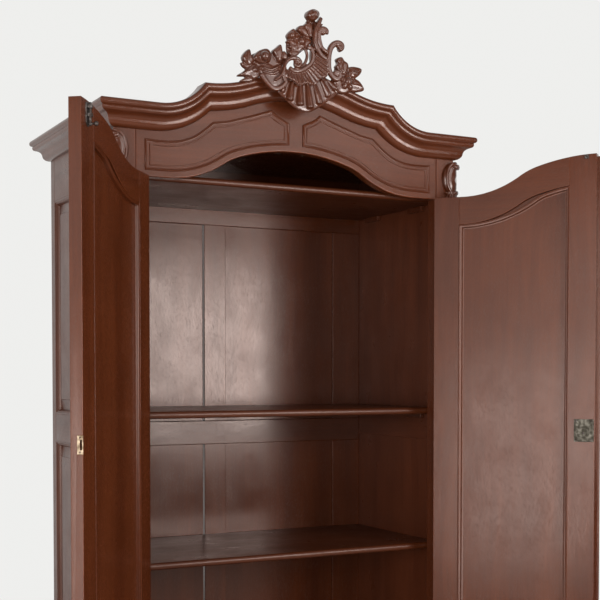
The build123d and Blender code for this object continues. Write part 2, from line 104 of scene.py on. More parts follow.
def box_round(points):
    """Lowest and highest corner of some points."""
    return [Vector([pick(p[i] for p in points) for i in range(3)]) for pick in (min, max)]


def closed_box(node):
    """Lowest and highest corner of a CAD node with its door shut."""
    back = turn_of(BODIES[node]).inverted()
    return box_round([back @ v.co for v in frame["nodes"][node].data.vertices])


# ---- lines ---------------------------------------------------------------------------------------
def flat(x, y):
    return Vector((x, y))


def run(start, heading, legs, steps=10):
    """Points along a path in X and Z: a leg is a length, or a radius and a turn in degrees."""
    points = [start]
    heading = radians(heading)
    for leg in legs:
        if not isinstance(leg, tuple):
            points.append(points[-1] + flat(cos(heading), sin(heading)) * leg)
            continue
        radius, turn = leg[0], radians(leg[1])
        way = 1 if turn > 0 else -1
        centre = points[-1] + flat(-sin(heading), cos(heading)) * radius * way
        for i in range(1, steps + 1):
            angle = heading + turn * i / steps
            points.append(centre + flat(sin(angle), -cos(angle)) * radius * way)
        heading += turn
    return points


def there_and_back(legs):
    return legs + legs[::-1]


ARCH_START = 0.430                   # where the frieze's serpentine leaves the straight
ARCH_RISE = 33.7
ARCH_EASE = 17.5
ARCH_HOLLOW = 0.3336
ARCH_SHOULDER = 0.2167
ARCH_CROWN = ((ARCH_START - ARCH_HOLLOW * sin(radians(ARCH_RISE))
               - ARCH_SHOULDER * (sin(radians(ARCH_RISE)) - sin(radians(ARCH_EASE))))
              / sin(radians(ARCH_EASE)))


def arch_line(drop):
    """The frieze's serpentine lower edge, moved down square to itself."""
    legs = there_and_back([OPENING - ARCH_START, (ARCH_HOLLOW + drop, ARCH_RISE),
                           (ARCH_SHOULDER - drop, ARCH_EASE - ARCH_RISE),
                           (ARCH_CROWN - drop, -ARCH_EASE)])
    return run(flat(-OPENING, FRIEZE_LOW - drop), 0, legs, 14)


SWEEP_X = 0.470                      # where the cornice leaves the straight
CUSP = flat(0.328, CROWN_TOP + 0.074)
SWEEP_R = ((SWEEP_X - CUSP.x) ** 2 + (CUSP.y - CROWN_TOP) ** 2) / 2 / (CUSP.y - CROWN_TOP)
DISH_R = 0.434
DISH_TURN = 19.9
DOME_R = CUSP.x / sin(radians(DISH_TURN)) - DISH_R


def crown_line(drop, reach):
    """The cornice's upper edge moved drop square to itself, out to reach on both sides."""
    sweep = flat(SWEEP_X, CROWN_TOP + SWEEP_R)
    dish = flat(CUSP.x, CUSP.y + DISH_R)
    apart = (dish - sweep).length
    along = ((SWEEP_R + drop) ** 2 - (DISH_R + drop) ** 2 + apart ** 2) / 2 / apart
    side = sqrt((SWEEP_R + drop) ** 2 - along ** 2)
    way = (dish - sweep).normalized()
    tip = sweep + way * along - flat(way.y, -way.x) * side
    turn = degrees(atan2(sweep.x - tip.x, sweep.y - tip.y))
    lean = degrees(atan2(dish.x - tip.x, dish.y - tip.y))
    first = run(flat(-reach, CROWN_TOP - drop), 0, [reach - SWEEP_X, (SWEEP_R + drop, turn)])
    bowl = (DISH_R + drop, DISH_TURN - lean)
    rest = run(flat(-tip.x, tip.y), lean, [bowl, (DOME_R - drop, -2 * DISH_TURN), bowl], 16)
    last = [flat(-p.x, p.y) for p in reversed(first)]
    return first + rest[1:-1] + last


def smooth_line(points, closed=False, steps=6):
    """A round-cornered line through the points, by Catmull and Rom's rule."""
    count = len(points)
    spans = count if closed else count - 1
    line = []
    for i in range(spans):
        if closed:
            a, b, c, d = (points[(i + k) % count] for k in (-1, 0, 1, 2))
        else:
            a, b, c, d = (points[min(max(i + k, 0), count - 1)] for k in (-1, 0, 1, 2))
        for k in range(steps):
            t = k / steps
            line.append(0.5 * ((2 * b) + (c - a) * t + (2 * a - 5 * b + 4 * c - d) * t * t
                               + (3 * b - 3 * c + d - a) * t ** 3))
    if not closed:
        line.append(points[-1].copy())
    return line


def spread(line, count):
    """The same line with count points, evenly apart."""
    lengths = [0.0]
    for a, b in zip(line, line[1:]):
        lengths.append(lengths[-1] + (b - a).length)
    points = []
    k = 0
    for i in range(count):
        want = lengths[-1] * i / (count - 1)
        while k < len(line) - 2 and lengths[k + 1] < want:
            k += 1
        span = lengths[k + 1] - lengths[k]
        share = (want - lengths[k]) / span if span > 0 else 0.0
        points.append(line[k].lerp(line[k + 1], min(max(share, 0.0), 1.0)))
    return points


def moved(chain, distance):
    """An open line moved to its left, with its ends run on straight."""
    last = len(chain) - 1
    points = []
    for i, p in enumerate(chain):
        way = (chain[min(i + 1, last)] - chain[max(i - 1, 0)]).normalized()
        points.append(p + flat(-way.y, way.x) * distance)
    more = 3 * abs(distance) + 0.001
    first_way = (chain[1] - chain[0]).normalized()
    last_way = (chain[-1] - chain[-2]).normalized()
    return [points[0] - first_way * more] + points + [points[-1] + last_way * more]


def crossing(a, b):
    """Where the end of line a meets the start of line b."""
    for i in range(len(a) - 1, 0, -1):
        for j in range(len(b) - 1):
            hit = intersect_line_line_2d(a[i - 1], a[i], b[j], b[j + 1])
            if hit is not None:
                return i, j, hit
    raise RuntimeError("two sides of a moulding do not meet")


def inset_loop(chains, distance, counts):
    """A closed outline given as sides, moved inwards and mitred. Sides run anticlockwise."""
    if abs(distance) < 1e-6:
        cut = chains
    else:
        sides = [moved(chain, distance) for chain in chains]
        ends = [crossing(a, b) for a, b in zip(sides, sides[1:] + sides[:1])]
        cut = []
        for k, side in enumerate(sides):
            start = ends[k - 1]
            stop = ends[k]
            cut.append([start[2]] + side[start[1] + 1:stop[0]] + [stop[2]])
    loop = []
    for side, count in zip(cut, counts):
        loop += spread(side, count)[:-1]
    return loop


# ---- meshes --------------------------------------------------------------------------------------
def new_mesh():
    bm = bmesh.new()
    bm.loops.layers.float_vector.new("grain")
    return bm


def add_grid(bm, rows, close_rows=False, close_columns=False, shift=Vector(), across_grain=False):
    """Quads between rows of points. The grain runs along the rows, or across them."""
    grain = bm.loops.layers.float_vector["grain"]
    verts = [[bm.verts.new(p) for p in row] for row in rows]
    nr, nc = len(rows), len(rows[0])
    down = [0.0]
    along = [0.0]
    for r in range(nr):
        down.append(down[-1] + (rows[(r + 1) % nr][0] - rows[r][0]).length)
    for c in range(nc):
        along.append(along[-1] + (rows[0][(c + 1) % nc] - rows[0][c]).length)
    faces = []
    for r in range(nr if close_rows else nr - 1):
        for c in range(nc if close_columns else nc - 1):
            r2, c2 = (r + 1) % nr, (c + 1) % nc
            face = bm.faces.new((verts[r][c], verts[r][c2], verts[r2][c2], verts[r2][c]))
            for loop, (i, j) in zip(face.loops, ((r, c), (r, c + 1), (r + 1, c + 1), (r + 1, c))):
                u, w = (along[j], down[i]) if across_grain else (down[i], along[j])
                loop[grain] = Vector((u, 0.0, w)) + shift
            faces.append(face)
    return verts, faces


def cap(bm, verts):
    """A flat face that closes an end."""
    grain = bm.loops.layers.float_vector["grain"]
    face = bm.faces.new(verts)
    for loop in face.loops:
        loop[grain] = loop.vert.co
    return face


def closed_solid(bm, rows):
    """A solid with rings of points for its skin, and flat ends."""
    verts, faces = add_grid(bm, rows, close_columns=True)
    return faces + [cap(bm, verts[0]), cap(bm, verts[-1])]


def round_angles(count, start=0.0):
    """Angles evenly round a circle."""
    return [2 * pi * i / count + start for i in range(count)]


def grain_by_place(bm, order, shift, faces=None):
    """Sets the grain of faces from their place; order says which of X, Y and Z runs where."""
    layer = bm.loops.layers.float_vector["grain"]
    for face in faces or bm.faces:
        for loop in face.loops:
            loop[layer] = Vector([loop.vert.co[i] for i in order]) + shift


def shift_for(name, number=0):
    """A place in the timber of its own for each board, the same at every run."""
    seed = sum((i + 3) * ord(c) for i, c in enumerate(name)) + 37 * number
    return Vector((seed * 0.731 % 5.0, seed * 0.417 % 5.0, seed * 0.293 % 9.0))


def finish_piece(name, bm, body, nodes, slot, materials, open_door=True, sharp=40.0):
    """Turns a mesh into a piece: smooth but for its sharp edges, riding on its body."""
    bmesh.ops.recalc_face_normals(bm, faces=bm.faces)
    if open_door:
        bmesh.ops.transform(bm, matrix=turn_of(body), verts=bm.verts)
    mesh = bpy.data.meshes.new(name)
    bm.to_mesh(mesh)
    bm.free()
    mesh.shade_smooth()
    mesh.set_sharp_from_angle(angle=radians(sharp))
    piece = bpy.data.objects.new(name, mesh)
    bpy.context.scene.collection.objects.link(piece)
    for material in materials:
        mesh.materials.append(material)
    if nodes:
        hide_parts(*nodes)
    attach(piece, body)
    return piece


def soften(piece, width, segments=3):
    """Rounds the sharp edges, and gives the rounded strip the worn finish."""
    bevel = piece.modifiers.new("soft_edges", "BEVEL")
    bevel.width = width
    bevel.segments = segments
    bevel.limit_method = "ANGLE"
    bevel.angle_limit = radians(32)
    bevel.harden_normals = True
    bevel.material = len(piece.data.materials) - 1
    bevel.use_clamp_overlap = True
    return piece


def parts_of(bm):
    """The separate solids of a mesh, as lists of faces."""
    left = set(bm.faces)
    parts = []
    while left:
        seed = left.pop()
        part = [seed]
        queue = [seed]
        while queue:
            for edge in queue.pop().edges:
                for other in edge.link_faces:
                    if other in left:
                        left.remove(other)
                        part.append(other)
                        queue.append(other)
        parts.append(part)

    def place(part):
        return tuple(round(c, 4) for c in min(v.co[:] for f in part for v in f.verts))
    return sorted(parts, key=place)


def cad_shape(bm, node):
    """Puts a CAD node's shape in a mesh, with its door shut and its flat faces whole."""
    bm.from_mesh(frame["nodes"][node].data)
    bmesh.ops.transform(bm, matrix=turn_of(BODIES[node]).inverted(), verts=bm.verts)
    bmesh.ops.remove_doubles(bm, verts=bm.verts, dist=MERGE)
    bmesh.ops.dissolve_limit(bm, angle_limit=FLAT_ENOUGH, verts=bm.verts, edges=bm.edges)


def timber(node, axis, wood, width=None):
    """CAD boards rebuilt with soft edges, their grain along axis."""
    bm = new_mesh()
    cad_shape(bm, node)
    for number, part in enumerate(parts_of(bm)):
        grain_by_place(bm, GRAIN_ORDER[axis], shift_for(node, number), part)
    piece = finish_piece(node, bm, BODIES[node], [node], *wood, sharp=30)
    return soften(piece, width or bpy.context.scene.armoire_shape.edge_round)


def moulding(bm, chains, profile, counts, shift=Vector()):
    """A moulding carried round a closed outline: profile points are (inset, depth)."""
    rows = []
    for inset, depth in profile:
        loop = inset_loop(chains, inset, counts)
        rows.append([Vector((p.x, depth + FRONT, p.y)) for p in loop])
    return add_grid(bm, rows, close_rows=True, close_columns=True, shift=shift)


def lathe(bm, profile, place, axis=UP, turns=24):
    """A turned solid: profile points are (radius, height) along the axis."""
    spin = axis.to_track_quat("Z", "Y").to_matrix().to_4x4()
    closed_solid(bm, [[place + spin @ Vector((radius * cos(angle), radius * sin(angle), height))
                       for angle in round_angles(turns)] for radius, height in profile])


# ---- finishes ------------------------------------------------------------------------------------
def node_maker(holder):
    """A function that adds a node to a material or a world, and links or sets its inputs."""
    tree = holder.node_tree

    def make(kind, *inputs, **settings):
        node = tree.nodes.new(kind)
        for key, value in settings.items():
            setattr(node, key, value)
        for socket, value in inputs:
            if isinstance(value, bpy.types.NodeSocket):
                tree.links.new(value, node.inputs[socket])
            else:
                node.inputs[socket].default_value = value
        return node
    return make


def empty_material(name):
    material = bpy.data.materials.new(name)
    material.use_nodes = True
    material.node_tree.nodes.clear()
    return material, node_maker(material)


def stretched_noise(make, where, scale, detail=2.0, rough=0.55):
    """Noise drawn out along the grain."""
    place = make("ShaderNodeVectorMath", (0, where), (1, scale), operation="MULTIPLY").outputs[0]
    return make("ShaderNodeTexNoise", ("Vector", place), ("Scale", 1.0), ("Detail", detail),
                ("Roughness", rough)).outputs["Fac"]


def ranged(make, value, low, high, to_low, to_high):
    return make("ShaderNodeMapRange", ("Value", value), ("From Min", low), ("From Max", high),
                ("To Min", to_low), ("To Max", to_high)).outputs[0]


def blended(make, factor, a, b):
    """One colour turning into another; sockets 6, 7 and 2 are the mix node's colours."""
    return make("ShaderNodeMix", (0, factor), (6, a), (7, b), data_type="RGBA").outputs[2]


def scaled(make, colour, factor):
    return make("ShaderNodeVectorMath", (0, colour), ("Scale", factor),
                operation="SCALE").outputs[0]


def rgba(colour, factor=1.0):
    return (colour[0] * factor, colour[1] * factor, colour[2] * factor, 1.0)


SHELLAC = (1.0, 0.80, 0.72, 1.0)     # warmth of the polish in its reflections
# the wood's figure: how fine it is twice across the grain and once along it, and its detail
FIGURE = {"ribbon": ((16.0, 16.0, 0.9), 2.0), "streak": ((130.0, 130.0, 3.0), 3.0),
          "pore": ((1500.0, 1500.0, 70.0), 2.0), "mottle": ((7.0, 7.0, 5.0), 3.0),
          "rub": ((55.0, 55.0, 22.0), 3.0), "smear": ((11.0, 11.0, 8.0), 4.0, 0.6),
          "ripple": ((38.0, 38.0, 26.0), 2.0), "cuts": ((150.0, 150.0, 110.0), 2.0)}


def mahogany(name, deep, pale, gloss, varnish, wear=0.0, figure=1.0, tooled=0.0):
    """Varnished mahogany: ribbon figure, fine streaks, open pores, a slightly uneven polish."""
    material, make = empty_material(name)
    raw = make("ShaderNodeAttribute", attribute_name="grain").outputs["Vector"]
    bend = make("ShaderNodeTexNoise", ("Vector", raw), ("Scale", 2.2), ("Detail", 1.0))
    bend = make("ShaderNodeVectorMath", (0, bend.outputs["Color"]), (1, (0.05, 0.05, 0.0)),
                operation="MULTIPLY").outputs[0]
    where = make("ShaderNodeVectorMath", (0, raw), (1, bend), operation="ADD").outputs[0]

    def noise(part):
        return stretched_noise(make, where, *FIGURE[part])

    ribbon, streak, pore, mottle = (noise(part) for part in ("ribbon", "streak", "pore", "mottle"))
    ribbon = ranged(make, ribbon, 0.32, 0.68, 0.0, 1.0)
    streak = ranged(make, streak, 0.3, 0.7, 0.0, 1.0)
    pore = ranged(make, pore, 0.36, 0.46, 1.0, 0.0)

    colour = blended(make, ribbon, rgba(deep), rgba(pale))
    streak_dark = ranged(make, streak, 0.0, 1.0, 1.0 - 0.12 * figure, 1.0 + 0.10 * figure)
    colour = scaled(make, colour, streak_dark)
    colour = scaled(make, colour, ranged(make, mottle, 0.3, 0.7, 0.90, 1.10))
    pore_share = ranged(make, pore, 0.0, 1.0, 0.0, 0.45)
    colour = blended(make, pore_share, colour, rgba(deep, 0.35))
    if wear:
        rub = ranged(make, noise("rub"), 0.42, 0.62, 0.0, wear)
        colour = blended(make, rub, colour, rgba(pale, 2.1))

    rough = ranged(make, noise("smear"), 0.3, 0.7, gloss - 0.05, gloss + 0.07)
    rough = make("ShaderNodeMath", (0, pore), (1, 0.10), (2, rough),
                 operation="MULTIPLY_ADD").outputs[0]
    dip = make("ShaderNodeBump", ("Height", pore), ("Strength", 0.25), ("Distance", 0.00012),
               invert=True)
    normal = make("ShaderNodeBump", ("Height", noise("ripple")), ("Strength", 0.3),
                  ("Distance", 0.0006), ("Normal", dip.outputs[0]))
    if tooled:
        normal = make("ShaderNodeBump", ("Height", noise("cuts")), ("Strength", tooled),
                      ("Distance", 0.0010), ("Normal", normal.outputs[0]))
    shader = make("ShaderNodeBsdfPrincipled", ("Base Color", colour), ("Roughness", rough),
                  ("Normal", normal.outputs[0]), ("IOR", 1.43), ("Specular Tint", SHELLAC),
                  ("Coat Weight", varnish), ("Coat Roughness", 0.22), ("Coat IOR", 1.5))
    make("ShaderNodeOutputMaterial", ("Surface", shader.outputs[0]))
    return material


def metal(name, colour, tarnish, rough):
    """Old metal: bright where it is handled, dull and spotted elsewhere."""
    material, make = empty_material(name)
    where = make("ShaderNodeTexCoord").outputs["Object"]
    patch = make("ShaderNodeTexNoise", ("Vector", where), ("Scale", 95.0), ("Detail", 5.0),
                 ("Roughness", 0.62)).outputs["Fac"]
    fine = make("ShaderNodeTexNoise", ("Vector", where), ("Scale", 900.0),
                ("Detail", 2.0)).outputs["Fac"]
    share = ranged(make, patch, 0.38, 0.62, 0.0, 1.0)
    share = make("ShaderNodeMath", (0, share), (1, 1.0), operation="MINIMUM").outputs[0]
    tone = blended(make, share, rgba(colour), rgba(tarnish))
    roughness = ranged(make, share, 0.0, 1.0, rough, rough + 0.3)
    bump = make("ShaderNodeBump", ("Height", fine), ("Strength", 0.2), ("Distance", 0.0001))
    shader = make("ShaderNodeBsdfPrincipled", ("Base Color", tone), ("Roughness", roughness),
                  ("Metallic", 1.0), ("Normal", bump.outputs[0]))
    make("ShaderNodeOutputMaterial", ("Surface", shader.outputs[0]))
    return material


def woods(kind):
    """The slot, the finish and the worn-edge finish of one kind of wood, made once."""
    colours = bpy.context.scene.armoire_wood
    # Shelves take the inside's colours, which are painted shade: darker than the case to stand in for the shade
    # inside the cabinet.
    slot = {"shelf": "interior", "side": "case"}.get(kind, kind)
    plain, rubbed = "varnished_" + kind, kind + "_rubbed_edge"
    if plain not in bpy.data.materials:
        deep, pale = (getattr(colours, f"{slot}_{tone}") for tone in ("deep", "pale"))
        gloss = colours.gloss + (colours.dulled if kind != slot else 0.0)
        varnish = colours.carved_varnish if kind == "carved" else colours.varnish
        figure, tooled = (0.5, colours.tooling) if kind == "carved" else (1.0, 0.0)
        mahogany(plain, deep, pale, gloss, varnish, figure=figure, tooled=tooled)
        mahogany(rubbed, deep, pale, gloss + 0.05, varnish, wear=colours.edge_wear)
    return slot + "_mahogany", [bpy.data.materials[plain], bpy.data.materials[rubbed]]


METAL_ROUGHNESS = {"brass": 0.28, "iron": 0.42, "steel": 0.3}


def metals(kind):
    """The slot and the finish of one metal, made once."""
    tones = bpy.context.scene.armoire_metal
    name = "old_" + kind
    if name not in bpy.data.materials:
        metal(name, getattr(tones, kind), getattr(tones, kind + "_tarnish"), METAL_ROUGHNESS[kind])
    return kind, [bpy.data.materials[name]]


# ---- settings ------------------------------------------------------------------------------------
def colour_setting(name, description, default):
    return FloatVectorProperty(name=name, description=description, default=default, size=3,
                               min=0.0, max=1.0, subtype="COLOR")


def length_setting(name, description, default):
    return FloatProperty(name=name, description=description, default=default, min=0.0,
                         subtype="DISTANCE", unit="LENGTH")


def share_setting(name, description, default, low=0.0):
    return FloatProperty(name=name, description=description, default=default, min=low, max=1.0,
                         subtype="FACTOR")


class ArmoireWood(bpy.types.PropertyGroup):
    case_deep: colour_setting("Case, deep", "Darker tone of the outside", (0.0770, 0.0175, 0.0058))
    case_pale: colour_setting("Case, pale", "Paler tone of the outside", (0.1046, 0.0254, 0.0090))
    door_deep: colour_setting("Doors, deep", "Darker tone of the doors", (0.0770, 0.0172, 0.0055))
    door_pale: colour_setting("Doors, pale", "Paler tone of the doors", (0.1032, 0.0248, 0.0082))
    # The inside's two tones are the case's made darker: painted shade standing in for the shade that falls inside
    # the cabinet.
    interior_deep: colour_setting("Interior, deep", "Darker tone inside", (0.0560, 0.0122, 0.0034))
    interior_pale: colour_setting("Interior, pale", "Paler tone inside", (0.0780, 0.0180, 0.0054))
    carved_deep: colour_setting("Carving, deep", "Darker tone of the carving",
                                (0.0770, 0.0186, 0.0069))
    carved_pale: colour_setting("Carving, pale", "Paler tone of the carving",
                                (0.1046, 0.0275, 0.0110))
    gloss: share_setting("Roughness", "Roughness of the varnished wood", 0.19, 0.05)
    varnish: share_setting("Varnish", "Strength of the clear varnish", 0.06)
    carved_varnish: share_setting("Carving varnish", "Strength of the varnish on the carving", 0.85)
    tooling: share_setting("Tool marks", "Depth of the tool marks on the carving", 0.55)
    dulled: share_setting("Dulled polish", "Extra roughness of the sides and shelves", 0.12)
    edge_wear: share_setting("Edge wear", "How much the edges are rubbed pale", 0.35)


class ArmoireMetal(bpy.types.PropertyGroup):
    brass: colour_setting("Brass", "Clean brass", (0.38, 0.29, 0.20))
    brass_tarnish: colour_setting("Brass, tarnished", "Dull brass", (0.22, 0.155, 0.10))
    iron: colour_setting("Iron", "Clean iron", (0.16, 0.14, 0.13))
    iron_tarnish: colour_setting("Iron, rusted", "Browned iron", (0.06, 0.042, 0.034))
    steel: colour_setting("Steel", "Clean steel", (0.075, 0.067, 0.054))
    steel_tarnish: colour_setting("Steel, tarnished", "Dull steel", (0.052, 0.045, 0.034))


class ArmoireShape(bpy.types.PropertyGroup):
    edge_round: length_setting("Edge rounding", "Rounding of the boards' edges", 0.0016)
    frieze_round: length_setting("Frieze rounding", "Rounding of the frieze's arched edge", 0.004)
    bead: length_setting("Frieze bead", "Width of the frieze panels' moulding", 0.009)
    door_moulding: length_setting("Door moulding", "Width of the door panels' moulding", 0.016)
    crest_relief: length_setting("Crest relief", "How far the crest's carving stands out", 0.030)


class ArmoireStudio(bpy.types.PropertyGroup):
    lens: FloatProperty(name="Lens", description="Focal length in millimetres", default=71.435,
                        min=1.0)
    pitch: FloatProperty(name="Pitch", description="Camera pitch below the level",
                         default=radians(1.912), subtype="ANGLE", unit="ROTATION")
    yaw: FloatProperty(name="Yaw", description="Camera turn to the right",
                       default=radians(27.688), subtype="ANGLE", unit="ROTATION")
    place: FloatVectorProperty(name="Camera place", description="Where the camera stands", size=3,
                               default=(-1.7352, FRONT - 3.3349, 1.288), subtype="TRANSLATION",
                               unit="LENGTH")
    rise: FloatProperty(name="Rise", description="Upward shift of the lens", default=0.186)
    floor: colour_setting("Floor", "Colour of the floor", (0.55, 0.54, 0.52))
    dim_front: share_setting("Front walls", "Brightness of the walls before the armoire", 0.05)
    sky: colour_setting("Surroundings", "Colour of the studio's walls", (0.86, 0.86, 0.845))


# ---- cabinet work --------------------------------------------------------------------------------
class Maker(bpy.types.Operator):
    """What all the armoire's operators share"""
    bl_options = {"REGISTER", "UNDO"}

    def execute(self, context):
        self.build(context.scene)
        return {"FINISHED"}


class ARMOIRE_OT_posts(Maker):
    """Corner posts, boards and rails of the case"""
    bl_idname = "armoire.posts"
    bl_label = "Posts and boards"

    def build(self, scene):
        # The boards inside the case take the darker inside tones, which are painted shade.
        case, side_wood, inside = woods("case"), woods("side"), woods("interior")
        for side in ("left", "right"):
            timber(f"front_post_{side}", "Z", case)
            timber(f"back_post_{side}", "Z", side_wood)
            timber(f"side_rails_{side}", "Y", side_wood)
        timber("front_apron", "X", case)
        for node, axis in (("top_board", "X"), ("bottom_board", "X"), ("back_rails", "X"),
                           ("back_stiles_and_muntin", "Z"), ("back_panels", "Z"),
                           ("shelf_cleats", "Y")):
            timber(node, axis, inside)


# a side panel from its frame to its raised field, in mm: how far in, and how far below the frame
SIDE_PANEL = ((0, 0.5), (4, 0.5), (6, 2.5), (10, 3.5), (14, 8.5), (16, 14), (18, 14), (48, 7),
              (50, 5), (56, 5))


class ARMOIRE_OT_side_panels(Maker):
    """Fielded panels of the two sides, each in its own small moulding"""
    bl_idname = "armoire.side_panels"
    bl_label = "Side panels"

    def build(self, scene):
        for side, sign in SIDES:
            node = f"side_panels_{side}"
            bm = new_mesh()
            for low, high in self.openings(node):
                self.panel(bm, sign, low, high)
            finish_piece(node, bm, "carcase", [node], *woods("side"), sharp=28)

    def openings(self, node):
        """The lowest and highest corner of each panel of a side."""
        shape = bmesh.new()
        shape.from_mesh(frame["nodes"][node].data)
        bmesh.ops.remove_doubles(shape, verts=shape.verts, dist=MERGE)
        boxes = [box_round([v.co.copy() for f in part for v in f.verts])
                 for part in parts_of(shape)]
        shape.free()
        return boxes

    def panel(self, bm, sign, low, high):
        """From the moulding at the frame, down to the panel's edge, and up to the field."""
        rows = []
        for inset, sunk in ((0, (HALF - WALL_IN) / MM), *SIDE_PANEL):
            y0, z0 = low.y + inset * MM, low.z + inset * MM
            y1, z1 = high.y - inset * MM, high.z - inset * MM
            x = sign * (HALF - sunk * MM)
            rows.append([Vector((x, y, z)) for y, z in ((y0, z0), (y1, z0), (y1, z1), (y0, z1))])
        shift = shift_for("side_panel", int(low.z * 10) + sign)
        grain_by_place(bm, (1, 0, 2), shift, closed_solid(bm, rows))


class ARMOIRE_OT_shelves(Maker):
    """Three loose shelves with round front corners and a rounded edge"""
    bl_idname = "armoire.shelves"
    bl_label = "Shelves"
    corner = 0.045       # radius of the front corners
    bulge = 0.9          # how far the front edge's rounding draws in, against half the thickness
    ends = 0.0012        # the same at the hidden edges

    def build(self, scene):
        for place in ("upper", "middle", "lower"):
            node = f"shelf_{place}"
            low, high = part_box(node)
            half, middle = (high.z - low.z) / 2, (high.z + low.z) / 2
            outline = self.outline(low, high)
            rows = []
            for step in range(13):
                angle = radians(-90 + 15 * step)
                draw, ease = (size * (1 - cos(angle)) for size in (half * self.bulge, self.ends))
                rows.append([Vector((p.x - n.x * (draw if front else ease),
                                     p.y - n.y * (draw if front else ease),
                                     middle + half * sin(angle))) for p, n, front in outline])
            bm = new_mesh()
            closed_solid(bm, rows)
            grain_by_place(bm, GRAIN_ORDER["X"], shift_for(node))
            piece = finish_piece(node, bm, "carcase", [node], *woods("shelf"), sharp=50)
            normals = piece.modifiers.new("even_shading", "WEIGHTED_NORMAL")
            normals.keep_sharp = True

    def outline(self, low, high):
        """Points of the edge with their outward directions, and whether they are at the front."""
        points = [(flat(high.x, high.y), flat(1, 0), False),
                  (flat(low.x, high.y), flat(-1, 0), False)]
        r = self.corner
        for x, start, side_step in ((low.x + r, 180, 0), (high.x - r, 270, 12)):
            for step in range(13):
                angle = radians(start + 7.5 * step)
                way = flat(cos(angle), sin(angle))
                points.append((flat(x, low.y + r) + way * r, way, step != side_step))
        return points


# cornice profile: how far out, and how far under the top
CORNICE_PROFILE = ((-10, 24), (-10, 0), (47, 0), (51.5, 0.6), (55.2, 2.6), (57.4, 6), (58, 10),
                   (57.4, 14), (55.4, 17.4), (52.6, 19.4), (50.2, 20.2), (49.2, 21.2),
                   (49.4, 22.4), (50.2, 23.6), (50, 27), (48.6, 31), (46.4, 33.6), (43, 35.2),
                   (37.6, 36.8), (31.6, 39.8), (27, 44), (24.4, 48.6), (23.2, 53), (22.4, 57.6),
                   (20.4, 62.8), (16.6, 67.8), (11.2, 71.4), (5.2, 73.4), (0, 74), (-3, 74),
                   (-3, 24))


class ARMOIRE_OT_cornice(Maker):
    """The moulded cornice: a serpentine front with two cusps, and the sides and back"""
    bl_idname = "armoire.cornice"
    bl_label = "Cornice"

    def build(self, scene):
        profile = [(out * MM, drop * MM) for out, drop in CORNICE_PROFILE]
        front = []
        right = []
        rear = []
        for out, drop in profile:
            front.append([Vector((p.x, FRONT - out, p.y)) for p in crown_line(drop, HALF + out)])
            z = CROWN_TOP - drop
            start, stop = FRONT - out, REAR + out
            x = HALF + out
            right.append([Vector((x, start + (stop - start) * i / 8, z)) for i in range(9)])
            rear.append([Vector((x - 2 * x * i / 12, stop, z)) for i in range(13)])
        left = [[Vector((-p.x, p.y, p.z)) for p in row] for row in right]
        for node, rows in (("cornice_front", front), ("cornice_right", right),
                           ("cornice_left", left), ("cornice_back", rear)):
            bm = new_mesh()
            verts, _ = add_grid(bm, rows, close_rows=True, shift=shift_for(node))
            cap(bm, [row[0] for row in verts])
            cap(bm, [row[-1] for row in verts])
            finish_piece(node, bm, "carcase", [node], *woods("case"), sharp=34)


FRIEZE_BEAD = ((0, 0.6), (0, -2.4), (1.2, -4.0), (3.2, -4.6), (5.0, -3.8), (6.2, -2.0),
               (6.8, -1.2), (8.6, -1.2), (9.4, -0.6), (9.6, 0.6))
FRIEZE_LINE = ((0, 0.6), (0, -1.0), (0.8, -2.0), (2.0, -2.3), (3.2, -2.0), (4.0, -1.0), (4.0, 0.6))
FRIEZE_TOP = ((-501, 1975), (-440, 1973.5), (-395, 1978), (-350, 1993), (-312, 2019), (-282, 2044))
FRIEZE_RISE = ((-282, 2044), (-236, 2051), (-196, 2063), (-148, 2078), (-85, 2099))
FRIEZE_SHELL = ((-85, 2099), (-76, 2090), (-60, 2080), (-40, 2071), (-24, 2063))
FRIEZE_MARGIN = 0.019    # from the arch to the panel's moulding
FRIEZE_IN = 0.014        # from the outer to the inner line


class ARMOIRE_OT_frieze(Maker):
    """The arched frieze board with its two moulded panels"""
    bl_idname = "armoire.frieze"
    bl_label = "Frieze"

    def build(self, scene):
        timber("frieze_board", "X", woods("case"), width=scene.armoire_shape.frieze_round)
        for side in ("left", "right"):
            bm = new_mesh()
            chains = self.sides()
            counts = [2, 24, 2, 5, 14, 14]
            scale = scene.armoire_shape.bead / 0.0096
            outer = [(x * MM * scale, y * MM) for x, y in FRIEZE_BEAD]
            moulding(bm, chains, outer, counts)
            inner = [(FRIEZE_IN + x * MM, y * MM) for x, y in FRIEZE_LINE]
            moulding(bm, chains, inner, counts)
            if side == "right":
                bmesh.ops.scale(bm, vec=(-1, 1, 1), verts=bm.verts)
            node = f"frieze_moulding_{side}"
            finish_piece(node, bm, "carcase", [node], *woods("case"), sharp=40)

    def sides(self):
        """The left panel's outline, anticlockwise from its outer lower corner."""
        arch = [p for p in arch_line(-FRIEZE_MARGIN) if -0.5 < p.x < -0.023]
        arch = [flat(-0.501, FRIEZE_LOW + FRIEZE_MARGIN)] + arch
        arch.append(flat(-0.0235, arch[-1].y + 0.001))
        shell = smooth_line([flat(x * MM, z * MM) for x, z in FRIEZE_SHELL])[::-1]
        rise = smooth_line([flat(x * MM, z * MM) for x, z in FRIEZE_RISE])[::-1]
        top = smooth_line([flat(x * MM, z * MM) for x, z in FRIEZE_TOP])[::-1]
        outer = [top[-1], arch[0]]
        inner = [arch[-1], shell[0]]
        return [outer, arch, inner, shell, rise, top]


